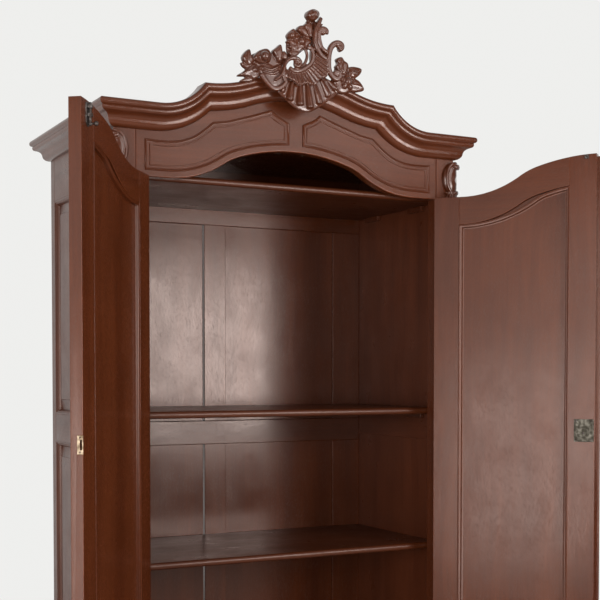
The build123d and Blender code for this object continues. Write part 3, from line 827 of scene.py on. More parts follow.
# ---- carving -------------------------------------------------------------------------------------
VOXEL = 0.0016           # grain of the crest's skin
CREST_RELIEF = 0.030     # relief that the crest's shapes below are given for
CREST_Z = 2.188          # middle of the shell
SHELL = ((-96, -42), (-71, -65), (-44, -85), (-13, -97), (12, -98), (37, -87), (75, -62),
         (121, -21), (97, 5), (37, 23), (-25, 16), (-74, -11))
RUFFLE_OUT = ((-82, 15), (-77, 2), (-62, -7), (-47, -11), (-31, -21), (-20, -19), (-8, -12),
              (6, -14), (18, -15), (33, -8), (39, 4), (50, 12), (66, 15), (69, 43), (66, 65))
RUFFLE_IN = ((-74, 29), (-62, 18), (-37, 14), (-13, 20), (6, 32), (20, 51), (26, 68), (28, 82))
LOBES = (((-70, -10), (-84, -46), 10), ((-47, -10), (-58, -70), 13), ((-20, -14), (-22, -82), 14),
         ((4, -10), (14, -88), 14), ((27, -8), (48, -70), 13), ((50, 6), (79, -44), 12), ((74, 8),
                                                                                          (104,
                                                                                           -20),
                                                                                          10))
# flat carved shapes: how far each stands out, then its outline
SHAPES = (
    (10, SHELL),
    (9, ((-195, 40), (-170, 62), (-120, 66), (-104, 84), (-90, 88), (-76, 74), (-62, 60),
         (-78, 30), (-120, 10), (-180, 0), (-205, 10))),
    (10, ((-58, 60), (-66, 90), (-60, 128), (-36, 146), (-10, 162), (10, 186), (30, 190),
          (40, 168), (30, 130), (20, 118), (4, 100), (-20, 78), (-44, 64))),
    (9, ((90, 0), (110, 60), (128, 66), (150, 46), (192, 40), (168, 14), (196, -8), (150, -22),
         (110, -24))),
    (17, ((-159, 0), (-147, -20), (-129, -36), (-111, -44), (-92, -36), (-74, -19), (-83, 1),
          (-79, 26), (-86, 38), (-111, 27), (-135, 33), (-162, 19))),
    (23, ((-88, 95), (-105, 84), (-117, 72), (-108, 55), (-95, 39), (-83, 58))),
    (21, ((-79, 77), (-87, 63), (-84, 50), (-67, 55), (-70, 69))),
    (24, ((-181, 47), (-165, 66), (-138, 77), (-123, 66), (-126, 40), (-150, 28), (-172, 34))),
    (20, ((-193, 69), (-209, 58), (-218, 41), (-209, 25), (-194, 18), (-178, 35), (-187, 50))),
    (18, ((-233, -15), (-207, 5), (-180, 27), (-160, 16), (-158, -8), (-180, -21), (-199, -14))),
    (13, ((-221, 25), (-211, 12), (-190, 8), (-196, 20), (-209, 27))),
    (12, ((-223, -30), (-207, -18), (-180, -14), (-184, -26))),
    (22, ((-44, 149), (-59, 139), (-68, 124), (-57, 112), (-36, 118), (-24, 132), (-38, 138))),
    (19, ((-69, 107), (-58, 114), (-40, 112), (-38, 94), (-56, 99))),
    (19, ((-63, 92), (-54, 100), (-36, 98), (-34, 82), (-52, 84))),
    (18, ((-62, 73), (-50, 84), (-32, 84), (-24, 76), (-34, 66), (-47, 58))),
    (20, ((-40, 122), (-10, 130), (16, 124), (18, 112), (2, 101), (-16, 86), (-34, 78), (-46, 96))),
    (24, ((-34, 147), (-28, 158), (-16, 162), (-5, 155), (4, 138), (8, 124), (-13, 131),
          (-28, 139))),
    (21, ((-10, 164), (3, 173), (15, 173), (21, 157), (16, 126), (6, 134), (-3, 151))),
    (30, ((-3, 195), (3, 208), (21, 216), (39, 210), (42, 198), (31, 183), (15, 178), (3, 185))),
    (18, ((50, 199), (55, 184), (46, 170), (36, 160), (34, 176), (42, 188))),
    (16, ((60, 178), (50, 163), (34, 148), (30, 160), (44, 172))),
    (15, ((28, 139), (38, 104), (69, 95), (77, 83), (71, 43), (69, 13), (37, 8), (16, 52),
          (18, 103))),
    (22, ((105, 75), (123, 84), (133, 73), (146, 66), (149, 51), (136, 28), (118, 30), (102, 50),
          (109, 62))),
    (20, ((149, 53), (171, 59), (198, 54), (191, 35), (171, 22), (149, 27))),
    (17, ((160, 20), (188, 18), (209, -8), (188, -18), (158, -20), (140, -8))),
    (16, ((96, 10), (120, 30), (152, 32), (168, 8), (150, -26), (112, -26))),
)
# carved rods: how far each lies out, its thickness from end to end, then its course
RODS = (
    (18, (7, 6), ((-2, 97), (14, 94), (20, 76), (15, 53), (-2, 35), (-25, 22), (-47, 20),
                  (-62, 28))),
    (11, (5, 5), ((-4, 93), (3, 74), (-3, 52), (-17, 37), (-37, 26), (-54, 26))),
    (22, (4, 7, 5), ((-113, -18), (-92, 0), (-83, 20), (-77, 37), (-65, 51), (-50, 57), (-34, 55),
                     (-26, 46), (-30, 35), (-41, 33), (-45, 40), (-38, 45))),
    (21, (8, 7, 6), ((-160, -2), (-147, -20), (-129, -36), (-111, -43), (-92, -36), (-76, -20),
                     (-83, 2), (-78, 28))),
    (24, (5, 8, 8, 6), ((47, 191), (36, 170), (27, 150), (23, 130), (26, 109), (36, 88), (50, 74),
                        (66, 68))),
    (22, (6, 8, 9), ((68, 88), (50, 98), (42, 114), (38, 132), (41, 149), (51, 158), (63, 154),
                     (62, 144))),
    (20, (11, 9, 8), ((108, 104), (117, 108), (118, 116), (109, 121), (95, 118), (82, 106),
                      (75, 86), (73, 60), (75, 36), (86, 18), (102, 11), (114, 21), (108, 31),
                      (97, 29), (97, 21))),
    (17, (4, 3), ((-6, 150), (8, 126))),
    (17, (4, 3), ((-24, 152), (0, 128))),
    (16, (4, 3), ((6, 165), (13, 136))),
    (19, (3, 3), ((-99, 86), (-98, 48))),
    (19, (3, 3), ((-108, 74), (-104, 50))),
    (17, (3, 4), ((-152, 6), (-120, 2), (-96, 14))),
    (17, (3, 4), ((-150, 18), (-122, 14), (-98, 26))),
    (16, (3, 3), ((-228, -14), (-190, 4), (-168, 4))),
    (18, (3, 3), ((-200, 60), (-200, 30))),
    (20, (3, 3), ((122, 80), (124, 36))),
    (18, (3, 3), ((138, 62), (136, 36))),
    (17, (3, 4), ((194, 50), (172, 40), (156, 40))),
    (15, (3, 3), ((204, -6), (180, 0), (160, 0))),
    (14, (4, 4), ((38, 88), (52, 58), (66, 48))),
    (15, (4, 3), ((46, 104), (60, 84), (74, 78))),
)
KNOPS = ((-148, 50, 26, 15), (142, 7, 22, 13), (21, 198, 26, 12), (-52, 126, 19, 11),
         (-20, 112, 19, 12), (-178, 8, 16, 9), (170, 38, 18, 8), (-40, 46, 20, 9),
         (104, 22, 20, 7), (110, 114, 20, 10), (53, 148, 20, 10))
PETALS = 5


class Carver:
    """Gathers the closed solids of a carving, then makes one skin round them."""
    # a shape's edge: how far it draws in towards the middle, and its share of the rise
    dome = ((0.0, 0.0), (0.0, 0.45), (0.05, 0.72), (0.16, 0.88), (0.4, 0.97), (0.75, 1.0))
    turns = 16

    def __init__(self, place):
        self.bm = new_mesh()
        self.place = place

    def at(self, x, z, out):
        return self.place(x * MM, z * MM, out * MM)

    def shape(self, rise, outline):
        """A flat carved shape that domes towards its middle."""
        points = smooth_line([flat(*p) for p in outline], closed=True, steps=4)
        middle = sum(points, flat(0, 0)) / len(points)
        rows = []
        for draw, height in self.dome:
            row = [p.lerp(middle, draw) for p in points]
            rows.append([self.at(p.x, p.y, rise * height) for p in row])
        closed_solid(self.bm, rows)

    def rod(self, out, sizes, course, groove=0.0, lifts=None):
        """A carved rod that follows its course and swells as its sizes say."""
        line = smooth_line([flat(*p) for p in course], steps=6)
        last = len(line) - 1
        rows = []
        for i, p in enumerate(line):
            way = (line[min(i + 1, last)] - line[max(i - 1, 0)]).normalized()
            side = flat(-way.y, way.x)
            share = i / last * (len(sizes) - 1)
            k = min(int(share), len(sizes) - 2)
            size = sizes[k] + (sizes[k + 1] - sizes[k]) * (share - k)
            height = out if lifts is None else lifts[0] + (lifts[1] - lifts[0]) * i / last
            if i in (0, last):
                size *= 0.55
            row = []
            for angle in round_angles(self.turns):
                reach = size * (1 - groove * max(0.0, sin(angle)) ** 6)
                spot = p + side * size * cos(angle)
                row.append(self.at(spot.x, spot.y, height + reach * 1.15 * sin(angle)))
            rows.append(row)
        closed_solid(self.bm, rows)

    def knop(self, x, z, out, size, tall=1.0, turn=0.0):
        """A rounded boss, or a longer drop turned by an angle."""
        rows = []
        way, side = flat(-sin(turn), cos(turn)), flat(cos(turn), sin(turn))
        for i in range(1, 10):
            tilt = pi * i / 10
            reach = size * sin(tilt)
            row = []
            for angle in round_angles(self.turns):
                spot = flat(x, z) + side * reach * cos(angle) + way * reach * tall * sin(angle)
                row.append(self.at(spot.x, spot.y, out + size * 0.9 * cos(tilt)))
            rows.append(row)
        closed_solid(self.bm, rows)

    def skin(self, name, node, voxel, smoothing=2):
        """One closed, smoothed skin round everything gathered, as the finished piece."""
        bmesh.ops.recalc_face_normals(self.bm, faces=self.bm.faces)
        mesh = bpy.data.meshes.new(name)
        self.bm.to_mesh(mesh)
        self.bm.free()
        lump = bpy.data.objects.new(name + "_lump", mesh)
        bpy.context.scene.collection.objects.link(lump)
        remesh = lump.modifiers.new("skin", "REMESH")
        remesh.mode = "VOXEL"
        remesh.voxel_size = voxel
        evaluated = lump.evaluated_get(bpy.context.evaluated_depsgraph_get())
        skin = bpy.data.meshes.new_from_object(evaluated)
        bpy.data.objects.remove(lump)
        bm = new_mesh()
        bm.from_mesh(skin)
        for _ in range(smoothing):
            bmesh.ops.smooth_vert(bm, verts=bm.verts, factor=0.5,
                                  use_axis_x=True, use_axis_y=True, use_axis_z=True)
        grain_by_place(bm, GRAIN_ORDER["X"], shift_for(name))
        return finish_piece(name, bm, "carcase", [node], *woods("carved"), sharp=180)


class ARMOIRE_OT_crest(Maker):
    """The carved crest: a gadrooned shell, its ruffle, scrolls, stem, bud and leaves"""
    bl_idname = "armoire.crest"
    bl_label = "Crest"

    def build(self, scene):
        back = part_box("crest")[1].y
        gain = scene.armoire_shape.crest_relief / CREST_RELIEF
        carver = Carver(lambda x, z, out: Vector((x, back - out * gain, CREST_Z + z)))
        for rise, outline in SHAPES:
            carver.shape(rise, outline)
        for out, sizes, course in RODS:
            carver.rod(out, sizes, course, groove=0.28 if sizes[0] > 4 else 0.0)
        self.shell(carver)
        self.ruffle(carver)
        for x, z, out, size in KNOPS:
            carver.knop(x, z, out, size)
        self.flower(carver, 142, 7)
        carver.skin("crest", "crest", VOXEL)

    def shell(self, carver):
        """The gadroons, each ending in a drop."""
        for (x0, z0), (x1, z1), size in LOBES:
            lean = atan2(x1 - x0, z0 - z1)
            course = ((x0, z0), (x0 * 0.45 + x1 * 0.55, z0 * 0.45 + z1 * 0.55), (x1, z1))
            carver.rod(0, (size * 0.4, size * 0.8, size), course, lifts=(9, 9))
            carver.knop(x1 * 0.86 + x0 * 0.14, z1 * 0.86 + z0 * 0.14, 17, size * 0.52, tall=1.7,
                        turn=lean)

    def ruffle(self, carver):
        """Flutes between the ruffle's two edges, and the wavy rim over them."""
        count = 17
        outer = spread(smooth_line([flat(*p) for p in RUFFLE_OUT]), count)
        inner = spread(smooth_line([flat(*p) for p in RUFFLE_IN]), count)
        for a, b in zip(inner, outer):
            middle = a.lerp(b, 0.5)
            carver.rod(0, (3.4, 4.6, 6.2), (a, middle, b), lifts=(15, 22))
        carver.rod(23, (3.2, 3.2), [tuple(p) for p in outer])
        carver.shape(14, [tuple(p) for p in outer[:9]] + [tuple(p) for p in inner[:9]][::-1])
        carver.shape(14, [tuple(p) for p in outer[8:]] + [tuple(p) for p in inner[8:]][::-1])

    def flower(self, carver, x, z):
        for angle in round_angles(PETALS, start=0.3):
            carver.knop(x + 15 * cos(angle), z + 15 * sin(angle), 17, 9, tall=1.25,
                        turn=angle - pi / 2)


# ---- corner ornaments ----------------------------------------------------------------------------
WRAP_R = 0.014           # rounding that the corner carving bends over
CORNER_RELIEF = 1.45     # how much further it stands out than the shapes below say
CORNER_VOXEL = 0.0013
RIM = ((0, -4), (-12, -10), (-23, -22), (-29, -38), (-31, -57), (-27, -80), (-18, -98), (-7, -108),
       (0, -110))
LEAF = ((0, -98), (18, -106), (30, -120), (37, -141), (26, -147), (14, -144), (0, -150),
        (-14, -144), (-26, -147), (-37, -141), (-30, -120), (-18, -106))
VEINS = ((0, 0), (11, 13), (-11, -13), (20, 27), (-20, -27))


class ARMOIRE_OT_corners(Maker):
    """The carved cartouche and leaf wrapped round each front corner under the cornice"""
    bl_idname = "armoire.corners"
    bl_label = "Corner carvings"

    def build(self, scene):
        for side, sign in SIDES:
            node = f"corner_ornament_{side}"
            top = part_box(node)[1].z

            def place(u, z, out, sign=sign, top=top):
                return self.wrapped(u, top + z, out * CORNER_RELIEF, sign)
            carver = Carver(place)
            field = [(x * 0.93, z) for x, z in RIM[1:-1]]
            carver.shape(12.5, field + [(-x, z) for x, z in field[::-1]])
            for way in (-1, 1):
                carver.rod(9, (5.5, 5, 4.6, 4.6, 5), [(x * way, z) for x, z in RIM], groove=0.3)
                carver.rod(3, (4, 5, 5, 4), [(x * way * 1.17, z) for x, z in RIM[2:-2]])
                carver.rod(5, (4, 4, 3), ((15 * way, -98), (24 * way, -106), (33 * way, -104)))
            self.curl(carver, -18, 15, 10)
            self.curl(carver, -104, 13, 8)
            carver.shape(7, LEAF)
            for start, stop in VEINS:
                course = ((start * 0.7, -104), (stop * 0.8, -124),
                          (stop * 1.15, -148 + abs(stop) * 0.12))
                carver.rod(0, (4.6, 5.2, 3.4), course, lifts=(8, 13), groove=0.3)
            carver.skin(node, node, CORNER_VOXEL)

    def wrapped(self, u, z, out, sign):
        """A place on the corner: u runs from the front face round to the side."""
        bend = WRAP_R * pi / 4
        turn = min(max(u / bend, -1.0), 1.0) * pi / 4 + pi / 4
        past = u - min(max(u, -bend), bend)
        way = flat(sin(turn), -cos(turn))
        spot = flat(HALF - WRAP_R, FRONT + WRAP_R) + way * (WRAP_R + out)
        spot += flat(past, 0.0) if past < 0 else flat(0.0, past)
        return Vector((sign * spot.x, spot.y, z))

    def curl(self, carver, z, out, size):
        """A small volute on the corner itself."""
        carver.knop(0, z, out, size * 0.55)
        reach = size * 0.62
        ring = [(reach * cos(a / 8 * pi), z + reach * sin(a / 8 * pi)) for a in range(-3, 13)]
        carver.rod(out, (size * 0.28, size * 0.4), ring)


# ---- feet ----------------------------------------------------------------------------------------
# how far the foot's outer and inner faces stand from the case's outer face, at each height
FOOT = ((130, 0, -67), (124, 3.5, -64), (112, 9, -56), (96, 12, -47), (78, 8.5, -41), (60, 1, -42),
        (44, -6, -44.5), (31, -7.5, -44), (20, -1, -40), (12, 8, -34), (6, 16, -29),
        (2.5, 19.5, -27), (0.6, 19.0, -27.5), (0, 17.5, -29))


class ARMOIRE_OT_feet(Maker):
    """The two front feet, swelling at the knee and turned out at the toe"""
    bl_idname = "armoire.feet"
    bl_label = "Feet"

    def build(self, scene):
        for side, sign in SIDES:
            node = f"front_foot_{side}"
            bm = new_mesh()
            line = smooth_line([Vector(p) for p in FOOT], steps=3)
            rows = []
            for height, outer, inner in line:
                half = (outer - inner) / 2 * MM
                middle = (outer + inner) / 2 * MM
                knee, toe = max(0.0, (height - 60) / 70), max(0.0, 1 - height / 30)
                power = 2 / (2.6 + 5.5 * knee ** 2 + 1.2 * toe)
                row = []
                for angle in round_angles(48):
                    c, q = cos(angle), sin(angle)
                    x = HALF + middle + half * abs(c) ** power * (1 if c > 0 else -1)
                    y = FRONT - middle - half * abs(q) ** power * (1 if q > 0 else -1)
                    row.append(Vector((sign * x, y, height * MM)))
                rows.append(row)
            closed_solid(bm, rows)
            grain_by_place(bm, GRAIN_ORDER["Z"], shift_for(node))
            finish_piece(node, bm, "carcase", [node], *woods("case"), sharp=50)


# ---- doors ---------------------------------------------------------------------------------------
# door panel moulding, in mm: how far in from the frame, and how far below its face
DOOR_PROFILE = ((0, 0), (0, -0.5), (0.8, -1.2), (2, -1.6), (3.2, -1.3), (4, -0.5), (4.5, 0.4),
                (5.4, 0.8), (8.4, 0.9), (9.6, 1.3), (10.1, 2.2), (10.3, 4.2), (10.5, 8.6),
                (10.9, 10.4), (11.6, 10.9), (16, 10.9), (16, 12), (0, 12))
DOOR_PROFILE_WIDTH = 0.016
PANEL_DROP = 0.092       # from the frieze's lower edge to the door panels' arch
STEPS_OVER_ARCH = 60


class ARMOIRE_OT_doors(Maker):
    """Both doors: stiles, rails, fielded panels and the mouldings on their two faces"""
    bl_idname = "armoire.doors"
    bl_label = "Doors"

    def build(self, scene):
        door = woods("door")
        for side in ("left", "right"):
            for part, axis in (("hinge_stile", "Z"), ("free_stile", "Z"), ("top_rail", "X"),
                               ("bottom_rail", "X"), ("panel", "Z")):
                timber(f"{side}_door_{part}", axis, door)
            self.moulding(side, door, scene.armoire_shape.door_moulding)

    def moulding(self, side, door, width):
        """The panel's moulding on both faces of a door."""
        node = f"{side}_door_panel_moulding"
        chains = self.outline(*closed_box(f"{side}_door_panel"))
        counts = [2, 2, STEPS_OVER_ARCH, 2]
        scale = width / DOOR_PROFILE_WIDTH
        bm = new_mesh()
        profile = [(x * MM * scale, y * MM) for x, y in DOOR_PROFILE]
        moulding(bm, chains, profile, counts, shift=shift_for(node))
        inside = [(x, DOOR_T - y) for x, y in profile]
        moulding(bm, chains, inside, counts, shift=shift_for(node, 1))
        finish_piece(node, bm, f"{side}_door", [node], *door, sharp=36)

    def outline(self, low, high):
        """Bottom, right, arched top and left of the panel, anticlockwise."""
        line = arch_line(PANEL_DROP)
        top = [p for p in line if low.x < p.x < high.x]
        ends = []
        for x in (low.x, high.x):
            for a, b in zip(line, line[1:]):
                if a.x <= x <= b.x:
                    ends.append(a.lerp(b, (x - a.x) / max(b.x - a.x, 1e-9)))
                    break
        top = ([ends[0]] + top + [ends[1]])[::-1]
        return [[flat(low.x, low.z), flat(high.x, low.z)], [flat(high.x, low.z), top[0]], top,
                [top[-1], flat(low.x, low.z)]]


# ---- metalwork -----------------------------------------------------------------------------------
def fitting(node, body, kind, width):
    """A CAD fitting in metal, with its edges eased."""
    bm = new_mesh()
    shape = bmesh.new()
    cad_shape(shape, node)
    mesh = bpy.data.meshes.new("shape")
    shape.to_mesh(mesh)
    shape.free()
    bm.from_mesh(mesh)
    bpy.data.meshes.remove(mesh)
    soften(finish_piece(node, bm, body, [node], *metals(kind), sharp=30), width, 2)


def plate(bm, outline, face, back, edge=0.0004):
    """A flat plate from an outline of places; face and back are steps out along its normal."""
    middle = sum(outline, Vector()) / len(outline)
    normal = (outline[1] - outline[0]).cross(middle - outline[0]).normalized()
    rows = []
    for step, draw in ((back, 0.0), (face - edge, 0.0), (face, edge)):
        row = []
        for p in outline:
            way = (middle - p).normalized()
            row.append(p + way * draw + normal * step)
        rows.append(row)
    closed_solid(bm, rows)


def screw(bm, place, axis, radius, turn=0.4):
    """A slotted, slightly domed screw head."""
    axis = axis.normalized()
    spin = axis.to_track_quat("Z", "Y").to_matrix()
    side = spin @ Vector((cos(turn), sin(turn), 0.0))
    across = axis.cross(side)
    slot = radius * 0.16
    for way in (-1, 1):
        rows = []
        for share, height in ((1.0, -0.2), (1.0, 0.12), (0.9, 0.26), (0.6, 0.38), (0.3, 0.42)):
            row = []
            for i in range(13):
                angle = pi * i / 12
                reach = side * cos(angle) + across * sin(angle) * way
                spot = reach * radius * share
                gap = spot.dot(across)
                if abs(gap) < slot:
                    spot += across * (slot * way - gap)
                row.append(place + spot + axis * radius * height)
            rows.append(row)
        closed_solid(bm, rows)
    core = radius * 0.96
    lathe(bm, [(core, -radius * 0.2), (core, radius * 0.02)], place, axis, 20)


def rect_outline(centre, right, up, width, height, corner, steps=5):
    """Points round a rectangle with round corners; right and up are directions."""
    points = []
    for k, (a, b) in enumerate(((1, 1), (-1, 1), (-1, -1), (1, -1))):
        hub = centre + right * a * (width / 2 - corner) + up * b * (height / 2 - corner)
        for i in range(steps + 1):
            angle = pi / 2 * (k + i / steps)
            points.append(hub + (right * cos(angle) + up * sin(angle)) * corner)
    return points


class ARMOIRE_OT_hinges(Maker):
    """Barrel hinges: pins with turned finials, knuckles and screwed leaves"""
    bl_idname = "armoire.hinges"
    bl_label = "Hinges"
    finial = ((2.6, 0.0005), (3.6, 1.0), (3.6, 1.9), (2.6, 2.6), (2.2, 3.4), (3.2, 4.6), (4.4, 6.2),
              (4.8, 7.6), (4.4, 9.2), (3.2, 10.6), (1.6, 11.4), (0.3, 11.7))
    knuckle = 0.005      # the barrel's radius
    set_out = 0.006      # from the case's front to the pin
    play = 0.0003        # from the middle of the barrel to each knuckle

    def build(self, scene):
        heights = self.heights()
        pins, posts = new_mesh(), new_mesh()
        turned = [(r * MM, h * MM) for r, h in self.finial]
        for side, sign in SIDES:
            doors = new_mesh()
            for low, high in heights:
                for end, way in ((high, UP), (low, -UP)):
                    lathe(pins, turned, Vector((sign * OPENING, FRONT - self.set_out, end)), way)
                middle = (low + high) / 2
                self.leaf(posts, sign, 1, low, middle - self.play)
                self.leaf(doors, sign, -1, middle + self.play, high)
            node = f"{side}_door_hinge_leaves"
            finish_piece(node, doors, f"{side}_door", [node], *metals("brass"))
        for node, bm in (("hinge_pins", pins), ("frame_hinge_leaves", posts)):
            finish_piece(node, bm, "carcase", [node], *metals("brass"))

    def heights(self):
        """Foot and head of each hinge's barrel."""
        points = sorted(v.co.z for v in frame["nodes"]["frame_hinge_leaves"].data.vertices)
        spans = []
        for z in points:
            if not spans or z - spans[-1][1] > 0.2:
                spans.append([z, z])
            spans[-1][1] = z
        return [(low, low + 2 * (high - low + self.play)) for low, high in spans]

    def leaf(self, bm, sign, toward_post, low, high):
        """Half of a hinge: its knuckle and the leaf let into the wood."""
        r = self.knuckle
        tall = high - low
        foot = [(r - 0.0006, 0), (r, 0.0006), (r, 0.0035), (r - 0.0005, 0.0041), (r, 0.0047)]
        head = [(radius, tall - height) for radius, height in foot[::-1]]
        lathe(bm, foot + head, Vector((sign * OPENING, FRONT - self.set_out, low)))
        x = sign * (OPENING + toward_post * 0.002)
        deep = (FRONT - 0.003, FRONT + 0.030)
        centre = Vector((x, sum(deep) / 2, (low + high) / 2))
        right = Vector((0, sign * toward_post, 0))
        outline = rect_outline(centre, right, UP, deep[1] - deep[0], tall, 0.0012)
        plate(bm, outline, 0.00095, -0.00095)
        for z in (low + 0.009, (low + high) / 2, high - 0.009):
            place = Vector((sign * (OPENING + toward_post * 0.0012), FRONT + 0.019, z))
            screw(bm, place, Vector((-sign * toward_post, 0, 0)), 0.0028, turn=z * 40)


BOLT_X = sum(corner.x for corner in closed_box("top_bolt")) / 2
ROD_Y = FRONT + DOOR_T + 0.007
ROD_R = 0.004


class ARMOIRE_OT_bolts(Maker):
    """The left door's two iron bolts, with their plates, staples, knobs and keepers"""
    bl_idname = "armoire.bolts"
    bl_label = "Bolts"
    knob = ((3.0, 0), (2.6, 1.5), (2.4, 6), (2.6, 9.5), (3.6, 11), (5.2, 13), (6.0, 15.5),
            (5.8, 18), (4.4, 20.4), (2.2, 21.6), (0.4, 21.9))
    overhang = 0.004     # from the plate's end to the point that the bolt is set out from
    half_width = 0.014
    # a staple's outer and inner edge on one side, across the door and out from it
    strap = (((-12.5, 1.8), (-12.5, 3.6), (-8.2, 4.2), (-7.8, 8), (-6.4, 11.2), (-3.6, 13.2),
              (0, 13.8)),
             ((-12.5, 1.8), (-9.2, 1.8), (-5.8, 2.6), (-5.6, 7.8), (-4.4, 9.8), (-2.6, 11.2),
              (0, 11.7)))

    def build(self, scene):
        self.bolt("top", closed_box("top_bolt_plate")[1].z + self.overhang, -1)
        self.bolt("bottom", closed_box("bottom_bolt_plate")[0].z - self.overhang, 1)
        for node in ("top_bolt_keeper", "bottom_bolt_keeper"):
            fitting(node, "carcase", "iron", 0.0007)
        self.star()

    def bolt(self, name, end, inward):
        """Plate, staples and screws, then the rod and its knob; inward is away from the edge."""
        def at(x, y, z):
            return Vector((BOLT_X + x, FRONT + DOOR_T + y, end + inward * z))
        bm = new_mesh()
        w = self.half_width
        outline = [at(w, 0.001, 0.0042), at(-w, 0.001, 0.0042)]
        for i in range(13):
            angle = pi * i / 12
            outline.append(at(-w * cos(angle), 0.001, 0.050 + w * sin(angle)))
        self.slab(bm, outline, 0.001)
        for low, high in ((0.010, 0.018), (0.031, 0.039)):
            self.staple(bm, at, low, high)
        for x, z in ((-0.0098, 0.0245), (0.0098, 0.0245), (-0.0098, 0.0465), (0.0098, 0.0465)):
            screw(bm, at(x, 0.0019, z), OUT_OF_DOOR, 0.0024, turn=x * 90 + z * 30)
        node = f"{name}_bolt_plate"
        finish_piece(node, bm, "left_door", [node], *metals("iron"), sharp=32)

        rod = new_mesh()
        r = ROD_R
        steps = [(r * 0.55, 0.003), (r, 0.0045), (r, 0.0605), (r * 0.6, 0.062)]
        lathe(rod, steps, Vector((BOLT_X, ROD_Y, end)), UP * inward, 20)
        lathe(rod, [(a * MM, b * MM) for a, b in self.knob],
              Vector((BOLT_X, ROD_Y, end + inward * 0.057)), OUT_OF_DOOR, 20)
        node = f"{name}_bolt"
        finish_piece(node, rod, node, [node], *metals("iron"), sharp=50)

    def slab(self, bm, outline, half):
        """A plate with eased edges lying on the door's inner face."""
        middle = sum(outline, Vector()) / len(outline)
        rows = []
        for step, draw in ((-half, 0.0), (half * 0.5, 0.0), (half, 0.04)):
            rows.append([p.lerp(middle, draw) + Vector((0, step, 0)) for p in outline])
        closed_solid(bm, rows)

    def staple(self, bm, at, low, high):
        """A strap bent over the rod, its two feet on the plate."""
        outer, inner = ([(x * MM, y * MM) for x, y in edge]
                        + [(-x * MM, y * MM) for x, y in edge[-2::-1]] for edge in self.strap)
        ring = outer + inner[-2:0:-1]
        rows = []
        for z, ease in ((low, 0.018), (low + 0.0005, 0.0), (high - 0.0005, 0.0), (high, 0.018)):
            rows.append([at(x * (1 - ease), y, z) for x, y in ring])
        verts, _ = add_grid(bm, rows, close_columns=True)
        for row in (verts[0], verts[-1]):
            for i in range(len(outer) - 1):
                face = [row[i], row[i + 1], row[(-i - 1) % len(row)], row[-i % len(row)]]
                bm.faces.new(list(dict.fromkeys(face)))

    def star(self):
        """The star-shaped catch plate behind the frieze."""
        low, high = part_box("catch_keeper")
        middle = low.lerp(high, 0.5)
        radius = (high.z - low.z) / 2
        bm = new_mesh()
        rows = []
        for y, draw in ((low.y + 0.0005, 1.0), (high.y - 0.002, 1.0), (high.y - 0.0008, 0.86),
                        (high.y, 0.3)):
            row = []
            for i, angle in enumerate(round_angles(24, start=pi / 2)):
                reach = radius * draw * (1.0, 0.78, 0.62, 0.78)[i % 4]
                row.append(Vector((middle.x + reach * cos(angle), y,
                                   middle.z + reach * sin(angle))))
            rows.append(row)
        closed_solid(bm, rows)
        finish_piece("catch_keeper", bm, "carcase", ["catch_keeper"], *metals("iron"), sharp=30)


